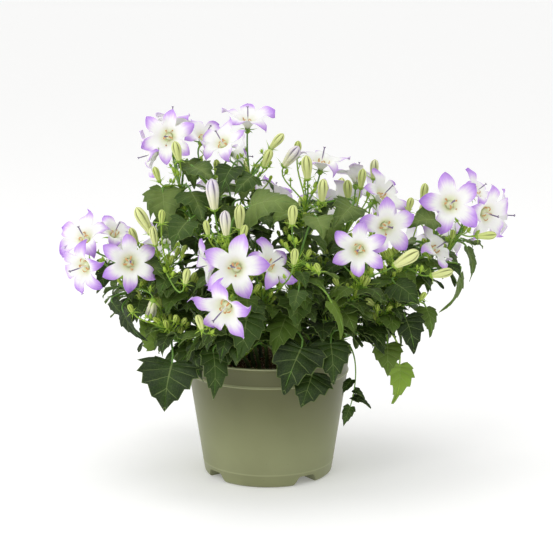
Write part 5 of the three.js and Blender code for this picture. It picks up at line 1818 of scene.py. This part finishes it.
def add_style(skin, bloom, scale, draw):
    length = STYLE_LENGTH * scale * lerp(0.9, 1.08, draw())
    bend = facing(360 * draw(), 30) * lerp(0.3, 1.6, draw())
    way = np.linspace(0, 1, STYLE_RINGS)
    straight = np.outer(lerp(STYLE_FOOT, length, way), bloom.look.axis)
    path = bloom.throat + straight + np.outer(way**2, bend)
    radii = smooth_through([0, 0.4, 0.85, 1], [0.45, 0.42, 0.52, 0.45], way) * scale
    along = np.append(np.repeat(ease(0.15, 0.75, way), STYLE_SIDES), (0, 1))
    skin.add(*tube(path, radii, STYLE_SIDES), finish=3, along=along)
    head = frame_of(unit(path[-1] - path[-2]))
    for number in range(3):
        angle = number * 2 * math.pi / 3 + draw()
        lobe = around(path[-1], head, STIGMA_OUT * scale, angle, STIGMA_ALONG * scale)
        skin.add(*tube(lobe, STIGMA_RADII * scale, 7), finish=3, along=0.8)


def add_heart(skin, bloom, draw):
    scale = bloom.span / COMMON_SPAN
    add_dome(skin, bloom, scale)
    for number in range(5):
        add_anther(skin, bloom, number, scale, draw)
    add_style(skin, bloom, scale, draw)


print("a style is about", STYLE_LENGTH, "mm long")

# %% [markdown]
# ## Each bloom in its place
# The oldest blooms have faded nearly to white, and the newest are the deepest violet. How much a head
# blushes is read off the photograph and given by shoot, with a small draw for each bloom.

# %% Build the blooms
BLUSHES = {
    "left_low": 0.95, "left_back": 0.75, "top_left": 0.62, "top_left_mid": 0.6, "top_mid": 0.5,
    "top_right": 0.6, "right_back": 0.45, "right_mid": 0.6, "right_front": 0.85, "right_arm": 0.85,
    "right_tip": 0.75, "right_low": 0.4, "front_mid": 0.8, "front_right_bloom": 0.75, "front_low": 1.0}
COMMON_BLUSH = 0.7
BLUSH_SWING = 0.12
bloom_finishes = [petal_finish, dome_finish, anther_finish, style_finish]
triangles = 0
for shoot in shoots:
    for bloom in shoot.blooms:
        skin = Skin("reach", "side", "turn_x", "turn_y", "under", "blush", "along")
        blush = BLUSHES.get(shoot.name, COMMON_BLUSH) + lerp(-BLUSH_SWING, BLUSH_SWING, draw_fine())
        add_petals(skin, bloom, blush, draw_fine)
        add_heart(skin, bloom, draw_fine)
        made = make_piece(f"open_{bloom.name}", skin, bloom_finishes, "petals", [bloom.name], sharp=60)
        triangles += triangles_of(made)
print("blooms:", triangles, "triangles")

# %% [markdown]
# ## The pot's plastic
# The pot is injection-moulded polypropylene, sage green, with the soft satin skin of a blasted mould:
# smooth but not glossy to the eye. Painted shade darkens it to a browner olive towards the rim, for the
# shadow of the foliage above, and it has a few specks. Painted highlights make the bead and the lip paler,
# and the fine line of the mould's base is paler too. All this depends on height, so it is read from the position.

# %% Pot plastic
MOULD_LINE = 11
CLOUD_SIZE = 45.45  # mm across a lighter or browner part of the wall
MOULD_GRAIN = 0.714  # mm; the blasted grain is near 0.1 mm, drawn as coarse as it needs to show
SPECK_SPACING = 5.26
# Painted highlights on the bead and the lip, and a paler mould line: height, half breadth, how much paler.
PALE_AND_HIGHLIT_BANDS = ((BEAD_HEIGHT + 0.4, 0.6, 0.7), (POT_HEIGHT, 1.1, 0.75), (MOULD_LINE, 0.4, 0.3))
pot_finish, add = new_finish("moulded_polypropylene_satin")
spot = add("TexCoord", output="Object")
cloud = add("TexNoise", {"Vector": spot, "Scale": scale_for(CLOUD_SIZE), "Detail": 3})
tone = add("MapRange", {0: cloud, 1: 0.3, 2: 0.7}, **SMOOTH)
colour = add("Mix", {0: tone, 6: linear("7d8059"), 7: linear("868a62")}, **COLOURS)
height = add("SeparateXYZ", {"Vector": spot}, output="Z")
# Painted shade: the wall darkens towards the rim, its edge wandering with the cloud, for the foliage's shadow.
shade_level = add("Math", {0: cloud, 1: 30 * MM, 2: height}, operation="MULTIPLY_ADD")
painted_shade = add("MapRange", {0: shade_level, 1: 35 * MM, 2: 102 * MM, 3: 0, 4: 0.95}, **SMOOTH)
colour = add("Mix", {0: painted_shade, 6: colour, 7: linear("56582f")}, **COLOURS)
specks = add("TexVoronoi", {"Vector": spot, "Scale": scale_for(SPECK_SPACING)}, output="Distance")
speck = add("MapRange", {0: specks, 1: 0.05, 2: 0.09, 3: 0.5, 4: 0}, **SMOOTH)
colour = add("Mix", {0: speck, 6: colour, 7: linear("6b6a4c")}, **COLOURS)
# Painted highlights: the bead and the lip are painted paler, as light catching them; the mould line is paler too.
for middle, half, most in PALE_AND_HIGHLIT_BANDS:
    away = add("Math", {0: height, 1: middle * MM}, operation="SUBTRACT")
    away = add("Math", {0: away}, operation="ABSOLUTE")
    paler_band = add("MapRange", {0: away, 1: half * MM, 2: (half + 0.5) * MM, 3: most, 4: 0}, **SMOOTH)
    colour = add("Mix", {0: paler_band, 6: colour, 7: linear("a9ad84")}, **COLOURS)
grain = add("TexNoise", {"Vector": spot, "Scale": scale_for(MOULD_GRAIN), "Detail": 2})
bump = add("Bump", {"Height": grain, "Strength": 0.25, "Distance": 0.05 * MM})
rough = add("Math", {0: cloud, 1: 0.12, 2: 0.36}, operation="MULTIPLY_ADD")
surface = add("BsdfPrincipled", {
    "Base Color": colour, "Roughness": rough, "IOR": 1.49, "Normal": bump, "Subsurface Weight": 0.05,
    "Subsurface Radius": (1.0, 1.0, 0.7), "Subsurface Scale": 1.0 * MM})
add("OutputMaterial", {"Surface": surface})
print("made", pot_finish.name)

# %% [markdown]
# ## Turning and cutting
# The wall is turned from one profile. Channels and holes aren't round the axis, so they are made as bars
# and cylinders and cut out, as the mould leaves them out. Boolean cuts need closed bodies whose faces look
# outwards.

# %% Turned and cut bodies
LATHE_SIDES = 160


def loose_body(name, points, faces):
    """A closed body that isn't a piece yet, with its faces turned outwards."""
    mesh = bpy.data.meshes.new(name)
    mesh.from_pydata((points * MM).tolist(), [], [face for block in faces for face in block.tolist()])
    turned_out = bmesh.new()
    turned_out.from_mesh(mesh)
    bmesh.ops.recalc_face_normals(turned_out, faces=turned_out.faces)
    turned_out.to_mesh(mesh)
    turned_out.free()
    made = bpy.data.objects.new(name, mesh)
    bpy.context.scene.collection.objects.link(made)
    return made


def turned(profile, name, sides=LATHE_SIDES):
    """A closed body turned from a list of [reach, height], which starts and ends on the upright axis."""
    profile = np.array(profile, float)
    angles = turns(sides)
    inner = profile[1:-1]
    rings = np.stack([np.outer(inner[:, 0], np.cos(angles)), np.outer(inner[:, 0], np.sin(angles)),
                      np.repeat(inner[:, 1:], sides, axis=1)], axis=-1)
    points, faces = capped(rings, grid_faces(len(inner), sides, loop=True))
    points[-2:, 2] = profile[0, 1], profile[-1, 1]
    return loose_body(name, points, faces)


def cut(body, tools):
    for tool in tools:
        modifier = body.modifiers.new("cut", "BOOLEAN")
        modifier.object = tool
        modifier.operation = "DIFFERENCE"
        modifier.solver = "EXACT"
    result = bpy.data.meshes.new_from_object(body.evaluated_get(bpy.context.evaluated_depsgraph_get()))
    body.modifiers.clear()
    body.data = result
    for tool in tools:
        bpy.data.objects.remove(tool)


print("a turned wall has", LATHE_SIDES, "sides")

# %% [markdown]
# ## The shell of the pot
# From the floor up the profile has a rounded foot, the line of the mould, the tapered wall, a bead, a band
# for grip and a rolled lip, and comes down inside. The hollow is a second turned body, with room left for
# the floor to fold up over the channels.

# %% Pot shell
WALL_FLARE = 12.6
CHANNEL_START = 17  # mm from the pot's axis


def wall_reach(height):
    return lerp(BASE_RADIUS, BASE_RADIUS + WALL_FLARE, (height - 3) / (BEAD_HEIGHT - 5))


def bar(number, outline, start, length, name):
    """A bar with an outline of [aside, height], laid outwards under the pot along one of its channels."""
    angle = math.radians(CHANNEL_TURN + 90 * number)
    outward = np.array([math.sin(angle), -math.cos(angle), 0])
    aside = np.array([math.cos(angle), math.sin(angle), 0])
    near = np.array([start * outward + x * aside + z * UP for x, z in outline])
    rings = np.array([near, near + length * outward])
    return loose_body(name, *capped(rings, grid_faces(2, len(outline), loop=True)))


def channel_outline(margin):
    """Half of a channel's outline up one side, then the same mirrored down the other."""
    foot, roof, top = 12 + margin, 7 + margin, CHANNEL_HEIGHT + margin
    corners = [[-foot - 1, -2], [foot + 1, -2], [foot - 0.4, 0.6]]
    corners += [[roof + 1.1, top - 1.4], [roof, top - 0.3], [roof - 1.2, top]]
    return corners + [[-x, z] for x, z in corners[:1:-1]]


def cut_channels(body, margin, name):
    outline, start = channel_outline(margin), CHANNEL_START - margin
    cut(body, [bar(number, outline, start, RIM_RADIUS, f"{name}_{number}") for number in range(4)])


rim, lip, bead = RIM_RADIUS, POT_HEIGHT, BEAD_HEIGHT
foot_profile = [
    [0, 0], [BASE_RADIUS - 3.2, 0], [BASE_RADIUS - 1.6, 0.5], [BASE_RADIUS - 0.5, 1.6], [BASE_RADIUS, 3]]
line_profile = [
    [wall_reach(MOULD_LINE - 0.5), MOULD_LINE - 0.5], [wall_reach(MOULD_LINE) + 0.2, MOULD_LINE - 0.15],
    [wall_reach(MOULD_LINE) + 0.2, MOULD_LINE + 0.15], [wall_reach(MOULD_LINE + 0.5), MOULD_LINE + 0.5]]
wall_profile = [[wall_reach(height), height] for height in (30, 50, 70, bead - 2.6)]
bead_profile = [
    [wall_reach(bead - 1.4) + 0.05, bead - 1.4], [rim - 3.0, bead - 1.0], [rim - 2.4, bead - 0.5],
    [rim - 2.3, bead], [rim - 2.6, bead + 0.6], [rim - 3.2, bead + 1.0], [rim - 3.35, bead + 1.5]]
lip_profile = [
    [rim - 1.9, lip - 4.4], [rim - 1.6, lip - 3], [rim - 0.5, lip - 2.3], [rim, lip - 1.5],
    [rim - 0.1, lip - 0.5], [rim - 0.6, lip - 0.1], [rim - 1.2, lip], [rim - 2, lip - 0.1],
    [rim - 2.5, lip - 0.6]]
inside_profile = [
    [rim - 2.9, lip - 3], [rim - 4.3, bead + 1], [wall_reach(bead) - POT_WALL, bead - 1], [0, bead - 1]]
hollow_profile = [
    [0, 2], [wall_reach(3) - POT_WALL - 2, 2], [wall_reach(5) - POT_WALL, 4],
    [wall_reach(bead - 1) - POT_WALL, bead - 1], [wall_reach(bead) - POT_WALL, bead + 1], [0, bead + 1]]
outside_profile = foot_profile + line_profile + wall_profile + bead_profile + lip_profile
pot = turned(outside_profile + inside_profile, "pot_shell")
hollow = turned(hollow_profile, "pot_hollow")
cut_channels(hollow, POT_WALL, "rib")
cut(pot, [hollow])
cut_channels(pot, 0, "channel")
print("pot shell:", len(pot.data.polygons), "faces")

# %% Drain holes, and the pot as a piece
HOLE_RADIUS = 4
HOLE_REACH = 38
HOLE_SIDES = 24
holes = []
for number in range(4):
    angle = math.radians(CHANNEL_TURN + 90 * number)
    hole = turned([[0, -1], [HOLE_RADIUS, -1], [HOLE_RADIUS, 14], [0, 14]], f"hole_{number}", HOLE_SIDES)
    place = HOLE_REACH * MM * mathutils.Vector((math.sin(angle), -math.cos(angle), 0))
    hole.data.transform(mathutils.Matrix.Translation(place))
    holes.append(hole)
cut(pot, holes)
pot.name = "flower_pot"
pot.data.materials.append(pot_finish)
pot.data.shade_smooth()
pot.data.set_sharp_from_angle(angle=math.radians(40))
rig.ride(pot, "root")
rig.replaces(pot, "pot")
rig.slot(pot, "pot_plastic")
print("pot:", len(pot.data.polygons), "faces")

# %% [markdown]
# ## The peat
# Potting peat is milled: a dark brown crumb of 1 to 2 mm with a few pale specks, dull all over. Colour and
# bump come from the same noise, so a crumb that stands up is also the lighter one.

# %% Peat finish
CRUMB_SIZE = 1.923
CELL_SIZE = 1.613
SPECK_SIZE = 1.11
peat_finish, add = new_finish("milled_peat_crumb")
spot = add("TexCoord", output="Object")
crumb = add("TexNoise", {"Vector": spot, "Scale": scale_for(CRUMB_SIZE), "Detail": 8, "Roughness": 0.75})
cells = add("TexVoronoi", {"Vector": spot, "Scale": scale_for(CELL_SIZE)}, output="Distance")
light = add("MapRange", {0: crumb, 1: 0.35, 2: 0.7}, **SMOOTH)
colour = add("Mix", {0: light, 6: linear("4a2e1f"), 7: linear("946a4a")}, **COLOURS)
specks = add("TexNoise", {"Vector": spot, "Scale": scale_for(SPECK_SIZE), "Detail": 0})
speck = add("MapRange", {0: specks, 1: 0.64, 2: 0.67}, **SMOOTH)
colour = add("Mix", {0: speck, 6: colour, 7: linear("dccba6")}, **COLOURS)
height = add("Math", {0: crumb, 1: cells}, operation="ADD")
bump = add("Bump", {"Height": height, "Strength": 1.0, "Distance": 0.9 * MM})
surface = add("BsdfPrincipled", {"Base Color": colour, "Roughness": 0.95, "IOR": 1.4, "Normal": bump})
add("OutputMaterial", {"Surface": surface})
print("made", peat_finish.name)

# %% [markdown]
# ## The surface of the peat
# The top is a disc of rings, raised and sunk by noise in three sizes, with loose crumbs strewn over it. It
# goes on down inside the pot as a closed body, so that no light leaks through.

# %% Peat shapes
PEAT_RINGS = 46
PEAT_SIDES = 144
PEAT_FLOOR = 12
PEAT_GAP = 0.3  # mm to the pot
# Swells, lumps and crumbs of the surface: how far apart they are, how high, and a place in the noise.
PEAT_NOISE = ((9, 1.3, 3.3), (2.6, 0.8, 8.1), (1.1, 0.35, 5.7))


def peat_height(x, y):
    height = SOIL_TOP - 1.2
    for size, most, place in PEAT_NOISE:
        height += most * mathutils.noise.noise(mathutils.Vector((x / size, y / size, place)))
    return height


def level_ring(reach, height):
    return [[reach * math.cos(a), reach * math.sin(a), height] for a in turns(PEAT_SIDES)]


def peat_ring(reach):
    """A ring of the surface, nowhere higher than the solid's top."""
    return [[x, y, min(peat_height(x, y), SOIL_TOP)] for x, y, _ in level_ring(reach, 0)]


edge = wall_reach(BEAD_HEIGHT) - POT_WALL - PEAT_GAP
rings = [level_ring(wall_reach(PEAT_FLOOR) - POT_WALL - PEAT_GAP, PEAT_FLOOR), level_ring(edge, BEAD_HEIGHT)]
rings += [peat_ring(reach) for reach in np.linspace(edge + 0.9, 0.8, PEAT_RINGS)]
peat = Skin()
peat.add(*capped(np.array(rings), grid_faces(len(rings), PEAT_SIDES, loop=True)))
print("the peat's surface has", PEAT_RINGS, "rings")

# %% Loose crumbs
CRUMBS = 420
CRUMB_SIDES = 6
CRUMB_REACH = 64
CRUMB_SIZES = (0.5, 1.9)
draw_peat = draw_from(FINE_SEED + 4)
for _ in range(CRUMBS):
    reach = CRUMB_REACH * math.sqrt(draw_peat())
    angle = 2 * math.pi * draw_peat()
    size = lerp(*CRUMB_SIZES, draw_peat() ** 3)
    x, y = reach * math.cos(angle), reach * math.sin(angle)
    look = frame_of(facing(360 * draw_peat(), 60 * draw_peat()))
    share = np.linspace(0.12, 0.88, 4)[:, None]
    uneven = np.array([[lerp(0.7, 1.2, draw_peat()) for _ in range(CRUMB_SIDES)]])
    round_reach = size * np.sin(math.pi * share) * uneven
    centre = np.array([x, y, peat_height(x, y) + 0.3 * size])
    along = size * (share - 0.5) * 1.6 + 0 * round_reach
    peat.add(*ringed(centre, look, round_reach, turns(CRUMB_SIDES), along))
soil = make_piece("peat_surface", peat, [peat_finish], "peat", ["soil"], sharp=35)
print("peat:", len(soil.data.polygons), "faces")

# %% [markdown]
# ## Floor
# The photograph has a white ground without an edge, and a large pale floor that runs past the horizon gives
# the same. It glows faintly, so the shadow under the pot stays light, as on paper that is lit from all
# sides.

# %% Floor
FLOOR_REACH = 60.0
floor_mesh = bpy.data.meshes.new("studio_floor")
floor_corners = [(x * FLOOR_REACH, y * FLOOR_REACH, 0) for x, y in ((-1, -1), (1, -1), (1, 1), (-1, 1))]
floor_mesh.from_pydata(floor_corners, [], [(0, 1, 2, 3)])
floor = bpy.data.objects.new("studio_floor", floor_mesh)
bpy.context.scene.collection.objects.link(floor)
floor_finish, add = new_finish("matt_white_paper_floor")
floor_surface = add("BsdfPrincipled", {
    "Base Color": linear("f2f2f1"), "Roughness": 0.9, "Specular IOR Level": 0.1,
    "Emission Color": linear("ffffff"), "Emission Strength": 0.18})
add("OutputMaterial", {"Surface": floor_surface})
floor_mesh.materials.append(floor_finish)
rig.stage(floor)
print("the floor is", 2 * FLOOR_REACH, "m wide")

# %% [markdown]
# ## Light
# Such a picture is taken in a white tent: light comes from everywhere, and a little more from above, the
# front and the left. An even white sky stands for the tent and three round softboxes for the lamps. Their
# size keeps the shadows between the leaves soft.

# %% Light
SKY_STRENGTH = 0.86
world = bpy.data.worlds.new("studio_sky")
world.use_nodes = True
sky = world.node_tree.nodes["Background"]
sky.inputs["Color"].default_value = (1, 1, 1, 1)
sky.inputs["Strength"].default_value = SKY_STRENGTH
bpy.context.scene.world = world


def softbox(name, place, target, size, power):
    """A round lamp at a place in metres, turned to a target, with its width in metres and power in watts."""
    light = bpy.data.lights.new(name, "AREA")
    light.shape = "DISK"
    light.size = size
    light.energy = power
    made = bpy.data.objects.new(name, light)
    made.location = place
    aim = mathutils.Vector(target) - mathutils.Vector(place)
    made.rotation_euler = aim.to_track_quat("-Z", "Y").to_euler()
    bpy.context.scene.collection.objects.link(made)


softbox("softbox_above", (-0.25, -0.1, 1.6), (0, 0, 0.18), 0.8, 4)
softbox("softbox_front", (-0.55, -1.2, 1.2), (0, 0, 0.1), 0.5, 3.5)
softbox("softbox_left", (-1.3, -0.6, 0.4), (0, 0, 0.12), 0.6, 3.2)
print("sky at", SKY_STRENGTH, "and", len(bpy.data.lights), "softboxes")

# %% [markdown]
# ## Camera
# The rim shows as a flat ellipse and the pot's sides hardly converge: a long lens from a little above. The
# camera stands 1.38 m in front, 0.34 m above the lip, and looks down by 11.4 degrees. The standard view
# keeps the whites white.

# %% Camera
LOOKS_DOWN = 11.4
camera = bpy.data.objects.new("camera", bpy.data.cameras.new("camera"))
camera.location = (0.007, -1.380, 0.445)
camera.rotation_euler = (math.radians(90 - LOOKS_DOWN), 0, 0)
camera.data.lens = 110
camera.data.sensor_width = 36
bpy.context.scene.collection.objects.link(camera)
bpy.context.scene.camera = camera
bpy.context.scene.view_settings.view_transform = "Standard"
print("camera in metres:", *camera.location)

# %% [markdown]
# ## Size
# The picture must not change the object's size, so the box of the solids and the box of what was made here
# are written side by side.

# %% Size
with open("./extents.json", "w") as size_file:
    json.dump({"cad": [list(corner) for corner in cad_box], "visual": [list(corner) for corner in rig.bounds()]},
              size_file)
print("kept both boxes in", size_file.name)
